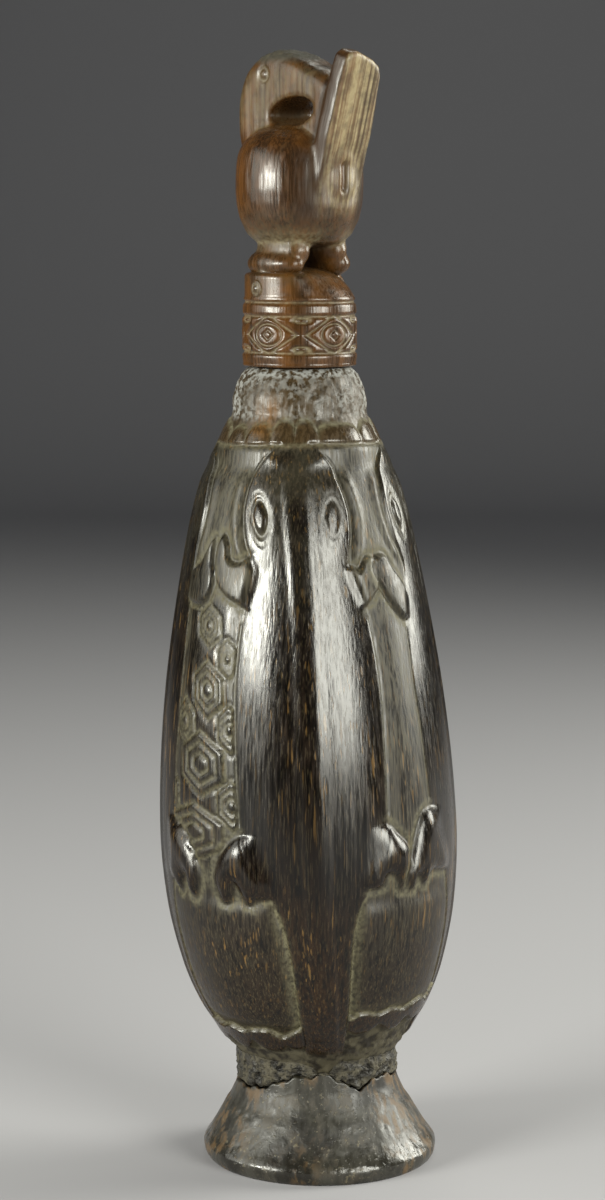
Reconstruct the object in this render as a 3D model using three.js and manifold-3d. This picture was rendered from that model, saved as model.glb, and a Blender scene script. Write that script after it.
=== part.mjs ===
// A carved lime flask for betel chewing: a hollow palm-wood vessel with four lizards in relief,
// a flared foot let into its lower end, a putty bead round that joint, and a bird-shaped stopper.
// Millimetres, +Z up. The origin is the centre of the foot's underside, and -Y is the front.
import * as THREE from "three";
import { mergeVertices } from "three/addons/utils/BufferGeometryUtils.js";
import Module from "manifold-3d";

const wasm = await Module();
wasm.setup();

// Fits
const jointGap = 0.3; // between faces that seat on each other
const boreClearance = 0.35; // round the plug, on the radius
const socketClearance = 0.3; // round the spigot, on the radius
const cutOverrun = 2; // how far a cutting shape runs past the face that it opens

// Foot
const footHeight = 15; // ground to the shoulder that carries the vessel
const footRadius = 20.9;
const footRimHeight = 2.6; // height of the widest line
const footSoleInset = 0.7; // how much narrower the sole is than the rim
const footNeckRadius = 13.4;
const spigotRadius = 10;
const spigotLength = 9;
const spigotChamfer = 0.8;

// Vessel
const waistRadius = 13.2;
const waistRise = 2.2; // plain lower end, below the place where the body swells
const bellyRadius = 26.5; // over the lizards' crests
const bodyLength = 111.5; // waist to neck
const neckRadius = 14;
const neckLength = 12;
const lipRadius = 9;
const wallThickness = 4.4; // from the ground of the carving to the chamber
const boreDepth = 20;
const throatLength = 8; // the chamber narrows into the bore over this height
const leanShift = 3.7; // how far the mouth stands to the left of the foot

// Lizards
const crestRise = 1.5; // spine above the ground of the carving
const edgeRise = 0.8; // flank edge above the ground
const edgeSlope = 0.9; // width of the cut beside the flank
const lizardHalfWidth = 13;
const limbRise = 1.3;
const eyeWidth = 3.6;
const eyeHeight = 7.4;
const eyeRise = 0.1; // above the crest
const rootDepth = 0.6; // how far raised carving is rooted below the ground

// Panel hexagons
const hexagonHalfWidth = 5;
const hexagonHalfHeight = 5.4;
const hexagonLine = 0.8; // width of the cut line
const hexagonDepth = 0.5;

// Putty bead
const beadRadius = 14.3; // at its waist
const beadDrop = 1.6; // below the foot's shoulder
const beadRise = 3; // above the vessel's waist
const beadLip = 0.4; // thickness at both lips

// Stopper
const collarRadius = 10;
const collarHeight = 17; // underside to the top of its dome
const domeHeight = 5.8;
const collarEdge = 0.5;
const ringWidth = 0.7;
const ringDepth = 0.4;
const plugRadius = 5.7;
const plugTipRadius = 5.2;
const plugLength = 16;

// Bird
const birdTurn = 132; // degrees from +X to the way that it faces
const breastLength = 23;
const breastWidth = 22;
const breastHeight = 20.4;
const legHeight = 4;
const legWidth = 4.8;
const legLength = 12;
const legBack = 1; // behind the stopper's axis
const legRoot = 2.6; // into the breast and the dome
const pawLength = 12.5;
const pawWidth = 6.4;
const pawHeight = 6;
const headReach = 12.8; // axis to the beak
const headHeight = 22.9; // middle of the breast to the crown
const headThickness = 8;
const headRound = 1.4;
const tailLength = 26.4;
const tailWidth = 10.6;
const tailThickness = 2.7;
const tailRound = 0.7;
const tailLean = 16; // degrees back from upright
const rumpWidth = 7.4;
const rumpHeight = 9;
const rumpProud = 0.5; // behind the breast's round
const toeWidth = 3.8;
const toeHeight = 5;
const toeProud = 0.6; // outside the collar

// Heights that follow from the sizes above
const vesselBase = footHeight + jointGap;
const waistHeight = vesselBase + waistRise;
const neckHeight = waistHeight + bodyLength;
const mouthHeight = neckHeight + neckLength;
const straightHeight = mouthHeight - boreDepth; // above it the vessel stands plumb
const collarBase = mouthHeight + jointGap;
const breastMiddle = collarHeight + legHeight + breastHeight / 2; // above the collar's underside

// Outlines, as pairs of shares. The first of a pair is a share of a height, unless the line says else.
const bodySwellShares = [
  [0, 0],
  [0.02, 0.1],
  [0.05, 0.33],
  [0.1, 0.573],
  [0.16, 0.765],
  [0.258, 0.942],
  [0.381, 1],
  [0.57, 0.889],
  [0.773, 0.614],
  [0.925, 0.304],
  [1, 0],
];
const neckShares = [
  [0, 1],
  [0.12, 0.9],
  [0.34, 0.7],
  [0.58, 0.54],
  [0.82, 0.34],
  [0.93, 0.18],
  [1, 0],
];
const footFlareShares = [
  [0, 1],
  [0.16, 0.84],
  [0.35, 0.62],
  [0.6, 0.36],
  [0.8, 0.17],
  [1, 0],
];
const domeShares = [
  [0, 0.97],
  [0.4, 0.84],
  [0.75, 0.62],
  [0.93, 0.36],
  [1, 0],
];
const flankShares = [
  [0.03, 0.21],
  [0.18, 0.38],
  [0.27, 0.5],
  [0.33, 0.72],
  [0.41, 1],
  [0.6, 1],
  [0.75, 0.81],
  [0.8, 0.58],
  [0.83, 0.71],
  [0.89, 0.74],
  [0.945, 0.6],
  [1, 0.2],
];
const spineSwayShares = [
  [0, 1],
  [0.1, 0.83],
  [0.3, 0.5],
  [0.45, 0.2],
  [0.62, 0],
  [0.74, 0],
  [0.89, -0.23],
  [1, -0.57],
];
// Limbs: share of the lizard's half width across from the spine, share of the body length up
const armShares = {
  outline: [
    [0.54, 0.82],
    [0.75, 0.822],
    [1.03, 0.817],
    [1.03, 0.842],
    [1.09, 0.856],
    [1.25, 0.818],
    [1.27, 0.787],
    [1.12, 0.769],
    [0.9, 0.76],
    [0.6, 0.765],
  ],
  middle: [1.12, 0.79],
};
const hindFootShares = {
  outline: [
    [0.6, 0.4],
    [0.97, 0.398],
    [1.21, 0.382],
    [1.37, 0.361],
    [1.45, 0.333],
    [1.28, 0.298],
    [1.13, 0.303],
    [1.05, 0.326],
    [0.87, 0.317],
    [0.5, 0.33],
  ],
  middle: [1.1, 0.352],
};
const eyeMiddleShares = [0.477, 0.885];
// Share of the outline, share of the rise
const cushionShares = [
  [1, 0.6],
  [0.6, 1],
];
const reliefStartShare = 0.07;
const reliefEndShare = 0.95;
const hexagonUpShares = [0.4, 0.505, 0.615, 0.715];
const hexagonSizeShares = [1, 1, 0.75, 0.55];
const hexagonCornerShare = 0.5; // height of the side corners, as a share of the half height
// Bird: share of the head's reach forward, share of the head's height up from the breast's middle
const headShares = [
  [-0.82, 0.375],
  [-0.845, 0.64],
  [-0.805, 0.81],
  [-0.55, 0.9],
  [-0.16, 0.974],
  [0.26, 1],
  [0.625, 0.943],
  [0.86, 0.834],
  [0.977, 0.68],
  [1, 0.48],
  [0.85, 0.17],
  [0, 0.09],
  [-0.7, 0.13],
];
const headHoleShares = { forward: -0.19, up: 0.565, long: 0.39, high: 0.135 };
const collarRingShares = [0.21, 0.77, 0.93];
const tailTopShare = 0.82; // width at the top as a share of the width at the rump
const tailRootShares = { back: 0.34, up: -0.12 }; // of the breast's length and height
const legAcrossShare = 0.18; // of the breast's width
const pawAcrossShare = 0.23; // of the breast's width
const legTopShare = 0.9;

// Counts and angles
const lizards = [0, 90, 180, 264]; // degrees round from the front, towards +X
const hexagonPanels = [313, 133]; // middles of the panels that carry hexagons
const spineSway = 6; // degrees
const leanPower = 1.3;
const bodyRows = 32;
const chamberRows = 10;
const panelColumns = 2;
const turnedSides = 36;
const flareRows = 5;
const beadRows = 2;
const chamberSides = 24;
const limbPoints = 16;
const eyePoints = 8;
const headPoints = 32;
const holePoints = 14;
const tailPoints = 8;
const breastSides = 20;
const lumpSides = 10;
const headHoleTilt = -0.26; // radians

// Looks
const palmWood = new THREE.MeshStandardMaterial({ color: 0x2b2018, roughness: 0.36, metalness: 0 });
const footWood = new THREE.MeshStandardMaterial({ color: 0x4a3d30, roughness: 0.5, metalness: 0 });
const putty = new THREE.MeshStandardMaterial({ color: 0x6a6152, roughness: 0.95, metalness: 0 });
const stopperWood = new THREE.MeshStandardMaterial({ color: 0x5b3722, roughness: 0.42, metalness: 0 });

// A smooth curve through a table of pairs: gives the second value at any first value.
function through(pairs) {
  const slopeAt = (i) => {
    const before = pairs[Math.max(i - 1, 0)];
    const after = pairs[Math.min(i + 1, pairs.length - 1)];
    return (after[1] - before[1]) / (after[0] - before[0]);
  };
  return (share) => {
    const last = pairs.length - 2;
    let i = pairs.findIndex((pair) => pair[0] > share) - 1;
    if (i < 0) i = share < pairs[0][0] ? 0 : last;
    const [start, low] = pairs[i];
    const [end, high] = pairs[i + 1];
    const span = end - start;
    const u = THREE.MathUtils.clamp((share - start) / span, 0, 1);
    const rise = high - low;
    const leaving = slopeAt(i) * span;
    const arriving = slopeAt(i + 1) * span;
    const squared = 3 * rise - 2 * leaving - arriving;
    const cubed = leaving + arriving - 2 * rise;
    return low + u * leaving + u ** 2 * squared + u ** 3 * cubed;
  };
}

const swell = through(bodySwellShares);
const flare = through(footFlareShares);
const flank = through(flankShares);
const sway = through(spineSwayShares);
const lerp = THREE.MathUtils.lerp;
const radians = THREE.MathUtils.degToRad;

// Sideways place of the flask's axis at a height
function leanAt(height) {
  const share = THREE.MathUtils.clamp(height / straightHeight, 0, 1);
  return -leanShift * (1 - (1 - share) ** leanPower);
}

// Radius over the crests, at a share of the body length
function crestRadius(share) {
  const plain = lerp(waistRadius, neckRadius, share);
  return plain + (bellyRadius - plain) * swell(share);
}

// How much of the relief stands at a share of the body length: it dies out at both ends
function reliefShare(share) {
  const below = THREE.MathUtils.smoothstep(share, 0, reliefStartShare);
  const above = THREE.MathUtils.smoothstep(share, reliefEndShare, 1);
  return below * (1 - above);
}

function groundRadius(share) {
  return crestRadius(share) - crestRise * reliefShare(share);
}

// Where a lizard's spine runs at a share of the body length
function spineAngle(degrees, share) {
  return radians(degrees + spineSway * sway(share));
}

// A point on the flask: the angle runs from the front towards +X
function onFlask(angle, radius, height) {
  return [leanAt(height) + radius * Math.sin(angle), -radius * Math.cos(angle), height];
}

// Solids are joined and cut as manifolds, and turned back into geometry at the end
function solid(geometry) {
  const plain = geometry.clone();
  plain.deleteAttribute("normal");
  plain.deleteAttribute("uv");
  const merged = mergeVertices(plain);
  const corners = merged.index.array;
  const kept = [];
  for (let i = 0; i < corners.length; i += 3) {
    const [a, b, c] = corners.slice(i, i + 3);
    if (a !== b && b !== c && c !== a) kept.push(a, b, c);
  }
  return new wasm.Manifold(
    new wasm.Mesh({
      numProp: 3,
      vertProperties: merged.attributes.position.array,
      triVerts: new Uint32Array(kept),
    }),
  );
}

function meshOf(manifold, name, material) {
  const { vertProperties, triVerts } = manifold.getMesh();
  const geometry = new THREE.BufferGeometry();
  geometry.setAttribute("position", new THREE.BufferAttribute(vertProperties, 3));
  geometry.setIndex(new THREE.BufferAttribute(triVerts, 1));
  geometry.computeVertexNormals();
  const mesh = new THREE.Mesh(geometry, material);
  mesh.name = name;
  return mesh;
}

// A turned solid from [radius, height] pairs, standing on +Z
function turned(profile, sides) {
  const points = profile.map(([radius, height]) => new THREE.Vector2(radius, height));
  return new THREE.LatheGeometry(points, sides).rotateX(Math.PI / 2);
}

// Moves each height sideways with the flask's lean
function leaned(geometry) {
  const places = geometry.attributes.position;
  for (let i = 0; i < places.count; i += 1) {
    places.setX(i, places.getX(i) + leanAt(places.getZ(i)));
  }
  return geometry;
}

// The columns of one ring round the body, as [angle, radius] pairs: each lizard's flanks, spine and the
// lines half way between, then the panel beside it
function bodyColumns(share) {
  const ground = groundRadius(share);
  const relief = reliefShare(share);
  const halfWidth = (lizardHalfWidth * flank(share)) / ground;
  const slope = edgeSlope / ground;
  const backRise = (edgeRise + crestRise) / 2;
  const sides = [
    [-halfWidth - slope, 0],
    [-halfWidth, edgeRise],
    [-halfWidth / 2, backRise],
    [0, crestRise],
    [halfWidth / 2, backRise],
    [halfWidth, edgeRise],
  ];
  return lizards.flatMap((degrees, i) => {
    const spine = spineAngle(degrees, share);
    const next = spineAngle(lizards[i + 1] ?? lizards[0] + 360, share);
    const columns = sides.map(([offset, rise]) => [spine + offset, ground + rise * relief]);
    const panelStart = spine + halfWidth + slope;
    const panelEnd = next - halfWidth - slope;
    for (let k = 0; k <= panelColumns; k += 1) {
      columns.push([lerp(panelStart, panelEnd, k / (panelColumns + 1)), ground]);
    }
    return columns;
  });
}

// A closed solid through rings of equal length, each end closed by a fan to a middle point
function throughRings(rings, bottom, top) {
  const columns = rings[0].length;
  const places = [...rings.flat(), bottom, top];
  const corners = [];
  const last = (rings.length - 1) * columns;
  for (let k = 0; k < columns; k += 1) {
    const next = (k + 1) % columns;
    for (let row = 0; row < last; row += columns) {
      corners.push(row + k, row + next, row + columns + next);
      corners.push(row + k, row + columns + next, row + columns + k);
    }
    corners.push(last + columns, next, k);
    corners.push(last + columns + 1, last + k, last + next);
  }
  const geometry = new THREE.BufferGeometry();
  geometry.setAttribute("position", new THREE.Float32BufferAttribute(places.flat(), 3));
  geometry.setIndex(corners);
  return geometry;
}

// A place in the carving: the arc across from a lizard's spine, the height, and the rise over the ground
function inCarving(degrees, across, height, rise) {
  const share = (height - waistHeight) / bodyLength;
  const ground = groundRadius(share);
  return onFlask(spineAngle(degrees, share) + across / ground, ground + rise, height);
}

// A raised cushion in the carving: its outline is scaled about its middle, where it stands highest
function cushion(outline, middle, degrees, rise) {
  const points = THREE.ShapeUtils.isClockWise(outline) ? outline.slice().reverse() : outline;
  const ringAt = (size, height) =>
    points.map((point) => {
      const { x, y } = middle.clone().lerp(point, size);
      return inCarving(degrees, x, y, height);
    });
  const rings = [ringAt(1, -rootDepth)];
  cushionShares.forEach(([size, up]) => rings.push(ringAt(size, up * rise)));
  const bottom = inCarving(degrees, middle.x, middle.y, -rootDepth);
  const top = inCarving(degrees, middle.x, middle.y, rise);
  return throughRings(rings, bottom, top);
}

// A place beside a lizard, by its shares across and up
function besideLizard([across, up], side) {
  return new THREE.Vector2(side * across * lizardHalfWidth, waistHeight + up * bodyLength);
}

function limb({ outline, middle }, side, degrees) {
  const curve = new THREE.CatmullRomCurve3(
    outline.map((shares) => {
      const { x, y } = besideLizard(shares, side);
      return new THREE.Vector3(x, y, 0);
    }),
    true,
  );
  const points = curve.getPoints(limbPoints).slice(0, -1);
  const flat = points.map(({ x, y }) => new THREE.Vector2(x, y));
  return cushion(flat, besideLizard(middle, side), degrees, limbRise);
}

function eye(side, degrees) {
  const middle = besideLizard(eyeMiddleShares, side);
  const curve = new THREE.EllipseCurve(middle.x, middle.y, eyeWidth / 2, eyeHeight / 2);
  return cushion(curve.getPoints(eyePoints).slice(0, -1), middle, degrees, eyeRise + crestRise);
}

function hexagon(up, halfWidth, halfHeight) {
  const corner = halfHeight * hexagonCornerShare;
  return [
    new THREE.Vector2(0, up - halfHeight),
    new THREE.Vector2(halfWidth, up - corner),
    new THREE.Vector2(halfWidth, up + corner),
    new THREE.Vector2(0, up + halfHeight),
    new THREE.Vector2(-halfWidth, up + corner),
    new THREE.Vector2(-halfWidth, up - corner),
  ];
}

// A hexagonal cutting line, laid in a panel
function hexagonCutter(index, degrees) {
  const up = waistHeight + hexagonUpShares[index] * bodyLength;
  const halfWidth = hexagonHalfWidth * hexagonSizeShares[index];
  const halfHeight = hexagonHalfHeight * hexagonSizeShares[index];
  const shape = new THREE.Shape(hexagon(up, halfWidth, halfHeight));
  shape.holes.push(new THREE.Path(hexagon(up, halfWidth - hexagonLine, halfHeight - hexagonLine)));
  const depth = hexagonDepth + cutOverrun;
  const cutter = new THREE.ExtrudeGeometry(shape, { depth, bevelEnabled: false });
  const places = cutter.attributes.position;
  for (let i = 0; i < places.count; i += 1) {
    const rise = places.getZ(i) - hexagonDepth;
    places.setXYZ(i, ...inCarving(degrees, places.getX(i), places.getY(i), rise));
  }
  return cutter;
}

function vesselOutside() {
  const ringOf = (columns, height) => columns.map(([angle, radius]) => onFlask(angle, radius, height));
  const plainRing = (share, radius, height) =>
    ringOf(bodyColumns(share).map(([angle]) => [angle, radius]), height);
  const rings = [plainRing(0, waistRadius, vesselBase)];
  for (let row = 0; row <= bodyRows; row += 1) {
    const share = row / bodyRows;
    rings.push(ringOf(bodyColumns(share), waistHeight + share * bodyLength));
  }
  neckShares.slice(1).forEach(([up, out]) => {
    rings.push(plainRing(1, lerp(lipRadius, neckRadius, out), neckHeight + up * neckLength));
  });
  return solid(throughRings(rings, onFlask(0, 0, vesselBase), onFlask(0, 0, mouthHeight)));
}

// The hollow: a socket for the spigot, the chamber, its throat and the bore for the plug
function vesselInside() {
  const socketRadius = spigotRadius + socketClearance;
  const socketTop = vesselBase + spigotLength;
  const boreRadius = plugRadius + boreClearance;
  const throatBase = straightHeight - throatLength;
  const profile = [
    [0, vesselBase - cutOverrun],
    [socketRadius, vesselBase - cutOverrun],
    [socketRadius, socketTop],
  ];
  for (let row = 1; row <= chamberRows; row += 1) {
    const height = lerp(socketTop, throatBase, row / chamberRows);
    const ground = groundRadius((height - waistHeight) / bodyLength);
    profile.push([Math.max(ground - wallThickness, boreRadius), height]);
  }
  profile.push([boreRadius, straightHeight]);
  profile.push([boreRadius, mouthHeight + cutOverrun]);
  profile.push([0, mouthHeight + cutOverrun]);
  return solid(leaned(turned(profile, chamberSides)));
}

function makeVessel() {
  const raised = lizards.flatMap((degrees) =>
    [-1, 1].flatMap((side) => [
      limb(armShares, side, degrees),
      limb(hindFootShares, side, degrees),
      eye(side, degrees),
    ]),
  );
  const cut = hexagonPanels.flatMap((degrees) =>
    hexagonUpShares.map((up, index) => hexagonCutter(index, degrees)),
  );
  let body = vesselOutside();
  raised.forEach((piece) => {
    body = body.add(solid(piece));
  });
  cut.forEach((piece) => {
    body = body.subtract(solid(piece));
  });
  return meshOf(body.subtract(vesselInside()), "vessel", palmWood);
}

// The foot's side between its rim and its shoulder
function footRadiusAt(height) {
  const share = (height - footRimHeight) / (footHeight - footRimHeight);
  return lerp(footNeckRadius, footRadius, flare(share));
}

function makeFoot() {
  const spigotTop = footHeight + spigotLength;
  const profile = [
    [0, 0],
    [footRadius - footSoleInset, 0],
  ];
  for (let row = 0; row <= flareRows; row += 1) {
    const height = lerp(footRimHeight, footHeight, row / flareRows);
    profile.push([footRadiusAt(height), height]);
  }
  profile.push([spigotRadius, footHeight]);
  profile.push([spigotRadius, spigotTop - spigotChamfer]);
  profile.push([spigotRadius - spigotChamfer, spigotTop]);
  profile.push([0, spigotTop]);
  return meshOf(solid(leaned(turned(profile, turnedSides))), "foot", footWood);
}

// The bead fills the waist over the joint: its inner face follows the foot and the vessel, one gap away
function makeFootSeal() {
  const low = footHeight - beadDrop;
  const high = waistHeight + beadRise;
  const inner = (height) => {
    const share = Math.max((height - waistHeight) / bodyLength, 0);
    return jointGap + (height <= footHeight ? footRadiusAt(height) : crestRadius(share));
  };
  const outer = (height) => Math.max(inner(height) + beadLip, beadRadius);
  const heights = [];
  for (let row = 0; row < beadRows; row += 1) heights.push(lerp(low, footHeight, row / beadRows));
  heights.push(footHeight);
  for (let row = 0; row <= beadRows; row += 1) heights.push(lerp(waistHeight, high, row / beadRows));
  const profile = heights.map((height) => [outer(height), height]);
  heights.reverse().forEach((height) => profile.push([inner(height), height]));
  profile.push(profile[0]);
  return meshOf(solid(leaned(turned(profile, turnedSides))), "foot_seal", putty);
}

// The plug, and the collar over it with its cut rings and domed top, as [radius, height] pairs
function collarProfile() {
  const sideHeight = collarHeight - domeHeight;
  const profile = [
    [0, -plugLength],
    [plugTipRadius, -plugLength],
    [plugRadius, 0],
    [collarRadius - collarEdge, 0],
    [collarRadius, collarEdge],
  ];
  collarRingShares.forEach((share) => {
    const middle = share * sideHeight;
    profile.push([collarRadius, middle - ringWidth / 2]);
    profile.push([collarRadius - ringDepth, middle]);
    profile.push([collarRadius, middle + ringWidth / 2]);
  });
  domeShares.forEach(([up, out]) => profile.push([out * collarRadius, sideHeight + up * domeHeight]));
  return profile;
}

// A round lump of the bird, by its size and its middle
function lump([length, width, height], [x, y, z], sides) {
  const ball = new THREE.SphereGeometry(1, sides, sides / 2).rotateX(Math.PI / 2);
  return ball.scale(length / 2, width / 2, height / 2).translate(x, y, z);
}

// Head and neck: an arched slab with a hole through it, its beak laid on the breast
function headGeometry() {
  const outline = headShares.map(
    ([forward, up]) => new THREE.Vector3(forward * headReach, breastMiddle + up * headHeight, 0),
  );
  const curve = new THREE.CatmullRomCurve3(outline, true);
  const points = curve.getPoints(headPoints).slice(0, -1);
  const shape = new THREE.Shape(points.map(({ x, y }) => new THREE.Vector2(x, y)));
  const hole = new THREE.EllipseCurve(
    headHoleShares.forward * headReach,
    breastMiddle + headHoleShares.up * headHeight,
    headHoleShares.long * headReach,
    headHoleShares.high * headHeight,
    0,
    Math.PI * 2,
    false,
    headHoleTilt,
  );
  shape.holes.push(new THREE.Path(hole.getPoints(holePoints).slice(0, -1)));
  const depth = headThickness - 2 * headRound;
  const slab = new THREE.ExtrudeGeometry(shape, {
    depth,
    bevelThickness: headRound,
    bevelSize: headRound,
    bevelOffset: -headRound,
    bevelSegments: 2,
  });
  return slab.translate(0, 0, -depth / 2).rotateX(Math.PI / 2);
}

// Tail: an upright board with a round top, leaning back from the rump
function tailGeometry() {
  const half = tailWidth / 2;
  const topHalf = half * tailTopShare;
  const shape = new THREE.Shape();
  shape.moveTo(-half, 0);
  shape.lineTo(half, 0);
  shape.lineTo(topHalf, tailLength - topHalf);
  shape.absarc(0, tailLength - topHalf, topHalf, 0, Math.PI, false);
  const depth = tailThickness - 2 * tailRound;
  const board = new THREE.ExtrudeGeometry(shape, {
    depth,
    curveSegments: tailPoints,
    bevelThickness: tailRound,
    bevelSize: tailRound,
    bevelOffset: -tailRound,
    bevelSegments: 1,
  });
  board.translate(0, 0, -depth / 2).rotateX(Math.PI / 2).rotateZ(Math.PI / 2);
  board.rotateY(-radians(tailLean));
  const { back, up } = tailRootShares;
  return board.translate(-breastLength * back, 0, breastMiddle + breastHeight * up);
}

// A leg: an oval post rooted in the dome and the breast, and the paw that grips the dome under it
function legGeometries(side) {
  const across = side * breastWidth;
  const post = new THREE.CylinderGeometry(legTopShare, 1, 1, lumpSides).rotateX(Math.PI / 2);
  post.scale(legLength / 2, legWidth / 2, legHeight + 2 * legRoot);
  post.translate(-legBack, across * legAcrossShare, collarHeight + legHeight / 2);
  const pawPlace = [-legBack, across * pawAcrossShare, collarHeight - legRoot / 2];
  return [post, lump([pawLength, pawWidth, pawHeight], pawPlace, lumpSides)];
}

function birdGeometries() {
  const rumpBack = (rumpWidth - breastLength) / 2 - rumpProud;
  const toeSize = [toeWidth, toeWidth, toeHeight];
  const toeUp = collarHeight - domeHeight + toeHeight / 2;
  const toeAcross = collarRadius - toeWidth / 2 + toeProud;
  return [
    lump([breastLength, breastWidth, breastHeight], [0, 0, breastMiddle], breastSides),
    headGeometry(),
    tailGeometry(),
    lump([rumpWidth, rumpWidth, rumpHeight], [rumpBack, 0, breastMiddle], lumpSides),
    ...[-1, 1].flatMap((side) => [
      ...legGeometries(side),
      lump(toeSize, [0, side * toeAcross, toeUp], lumpSides),
    ]),
  ];
}

function makeStopper() {
  let block = solid(turned(collarProfile(), turnedSides));
  birdGeometries().forEach((piece) => {
    block = block.add(solid(piece.rotateZ(radians(birdTurn))));
  });
  const stopper = meshOf(block, "stopper", stopperWood);
  stopper.position.set(-leanShift, 0, collarBase);
  return stopper;
}

const limeFlask = new THREE.Group();
limeFlask.add(makeFoot(), makeFootSeal(), makeVessel(), makeStopper());

export default limeFlask;
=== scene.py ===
# A carved palm-wood lime flask on a flared foot, closed by a bird stopper.
import math

import bmesh
import bpy
import numpy as np
from mathutils import Matrix, Vector, noise


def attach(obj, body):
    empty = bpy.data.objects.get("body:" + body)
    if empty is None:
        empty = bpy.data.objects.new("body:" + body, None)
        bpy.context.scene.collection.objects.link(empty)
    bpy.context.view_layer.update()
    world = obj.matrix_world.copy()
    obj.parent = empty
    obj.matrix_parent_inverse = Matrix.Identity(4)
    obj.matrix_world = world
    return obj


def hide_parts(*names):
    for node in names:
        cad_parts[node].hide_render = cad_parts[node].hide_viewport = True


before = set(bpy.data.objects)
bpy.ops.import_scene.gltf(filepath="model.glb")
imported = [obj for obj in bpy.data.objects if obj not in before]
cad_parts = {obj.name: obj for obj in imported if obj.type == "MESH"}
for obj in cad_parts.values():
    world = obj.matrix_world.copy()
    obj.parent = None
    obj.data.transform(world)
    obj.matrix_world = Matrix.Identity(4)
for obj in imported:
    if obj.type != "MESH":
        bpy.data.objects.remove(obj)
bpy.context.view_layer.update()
mm = 0.001  # the tables below are in millimetres
fullTurn = 2 * math.pi


# ---- curves and distances
def through(pairs):
    # a smooth curve through pairs of numbers, for arrays
    x, y = np.array(pairs, dtype=float).T
    before = np.maximum(np.arange(len(x)) - 1, 0)
    after = np.minimum(np.arange(len(x)) + 1, len(x) - 1)
    slope = (y[after] - y[before]) / (x[after] - x[before])

    def at(value):
        i = np.clip(np.searchsorted(x, value, side="right") - 1, 0, len(x) - 2)
        span, rise = x[i + 1] - x[i], y[i + 1] - y[i]
        u = np.clip((value - x[i]) / span, 0, 1)
        leaving, arriving = slope[i] * span, slope[i + 1] * span
        squared = 3 * rise - 2 * leaving - arriving
        return y[i] + u * leaving + u**2 * squared + u**3 * (leaving + arriving - 2 * rise)

    return at


def ease(value, low, high):
    share = np.clip((value - low) / (high - low), 0, 1)
    return share * share * (3 - 2 * share)


def window(value, start, full, fading, end):
    return ease(value, start, full) * (1 - ease(value, fading, end))


def ridge(value, width):
    return np.exp(-((value / width) ** 2))


def wrapped(angle):
    return (angle + math.pi) % fullTurn - math.pi


def lineDistance(across, up, points, closed=False):
    # distance from places to a line of points; inside a closed one it is negative
    best = np.full(across.shape, 1e9)
    inside = np.zeros(across.shape, bool)
    ends = points[1:] + points[:1] if closed else points[1:]
    for (ax, ay), (bx, by) in zip(points, ends):
        ex, ey = bx - ax, by - ay
        share = np.clip(((across - ax) * ex + (up - ay) * ey) / (ex * ex + ey * ey), 0, 1)
        best = np.minimum(best, np.hypot(across - ax - share * ex, up - ay - share * ey))
        if closed and ay != by:
            crosses = (ay > up) != (by > up)
            inside ^= crosses & (across < ex * (up - ay) / ey + ax)
    return np.where(inside, -best, best)


def roundedLoop(points, count=40):
    # a smooth closed line through given points
    closed = points[-2:] + points + points[:3]
    steps = np.arange(len(closed)) - 2.0
    places = np.linspace(0, len(points), count, endpoint=False)
    return list(zip(*(through(list(zip(steps, line)))(places).tolist() for line in zip(*closed))))


def roughness3d(places, size, seed):
    # smooth noise at places in mm, about -1 to 1
    shift = Vector((seed * 17.3, seed * 5.1, seed * 9.7))
    return np.array([noise.noise(Vector(p) / size + shift) for p in places])


def layered(places, layers):
    # layers of roughness, each with its depth, size and seed
    return sum(depth * roughness3d(places, size, seed) for depth, size, seed in layers)


def ovalShare(across, up, at, half):
    # 0 in the middle of an oval and 1 on its line
    return np.hypot((across - at[0]) / half[0], (up - at[1]) / half[1])


def roundPlaces(radius, angle, height, axis=0):
    # places in mm about an upright axis, the angle counted from the front
    return np.stack([axis + radius * np.sin(angle), -radius * np.cos(angle), height], axis=1)


# ---- meshes
def linked(name, data):
    made = bpy.data.objects.new(name, data)
    bpy.context.scene.collection.objects.link(made)
    return made


def meshFrom(bm, name):
    mesh = bpy.data.meshes.new(name)
    bm.to_mesh(mesh)
    bm.free()
    return mesh


def keepMesh(name, mesh, body, slot, material, *nodes):
    mesh.shade_smooth()
    piece = linked(name, mesh)
    mesh.materials.clear()
    mesh.materials.append(material)
    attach(piece, body)
    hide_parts(*nodes)
    print(name, "is made,", sum(len(face.vertices) - 2 for face in mesh.polygons), "triangles")


def vectorsOf(mesh, name="co"):
    numbers = np.zeros(len(mesh.vertices) * 3)
    mesh.vertices.foreach_get(name, numbers)
    return numbers.reshape(-1, 3)


def setPlaces(mesh, places):
    # places in mm
    mesh.vertices.foreach_set("co", np.ascontiguousarray(places * mm, dtype=np.float32).ravel())
    mesh.update()


def setMasks(mesh, **masks):
    # numbers that the finishes read, one for each vertex
    for name, values in masks.items():
        values = np.ascontiguousarray(np.broadcast_to(values, len(mesh.vertices)), dtype=np.float32)
        mesh.attributes.new(name, "FLOAT", "POINT").data.foreach_set("value", values)


def setGrain(mesh, places):
    # places in mm that run straight along the grain
    grain = mesh.attributes.new("grain", "FLOAT_VECTOR", "POINT")
    grain.data.foreach_set("vector", (places * mm).ravel())


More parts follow.
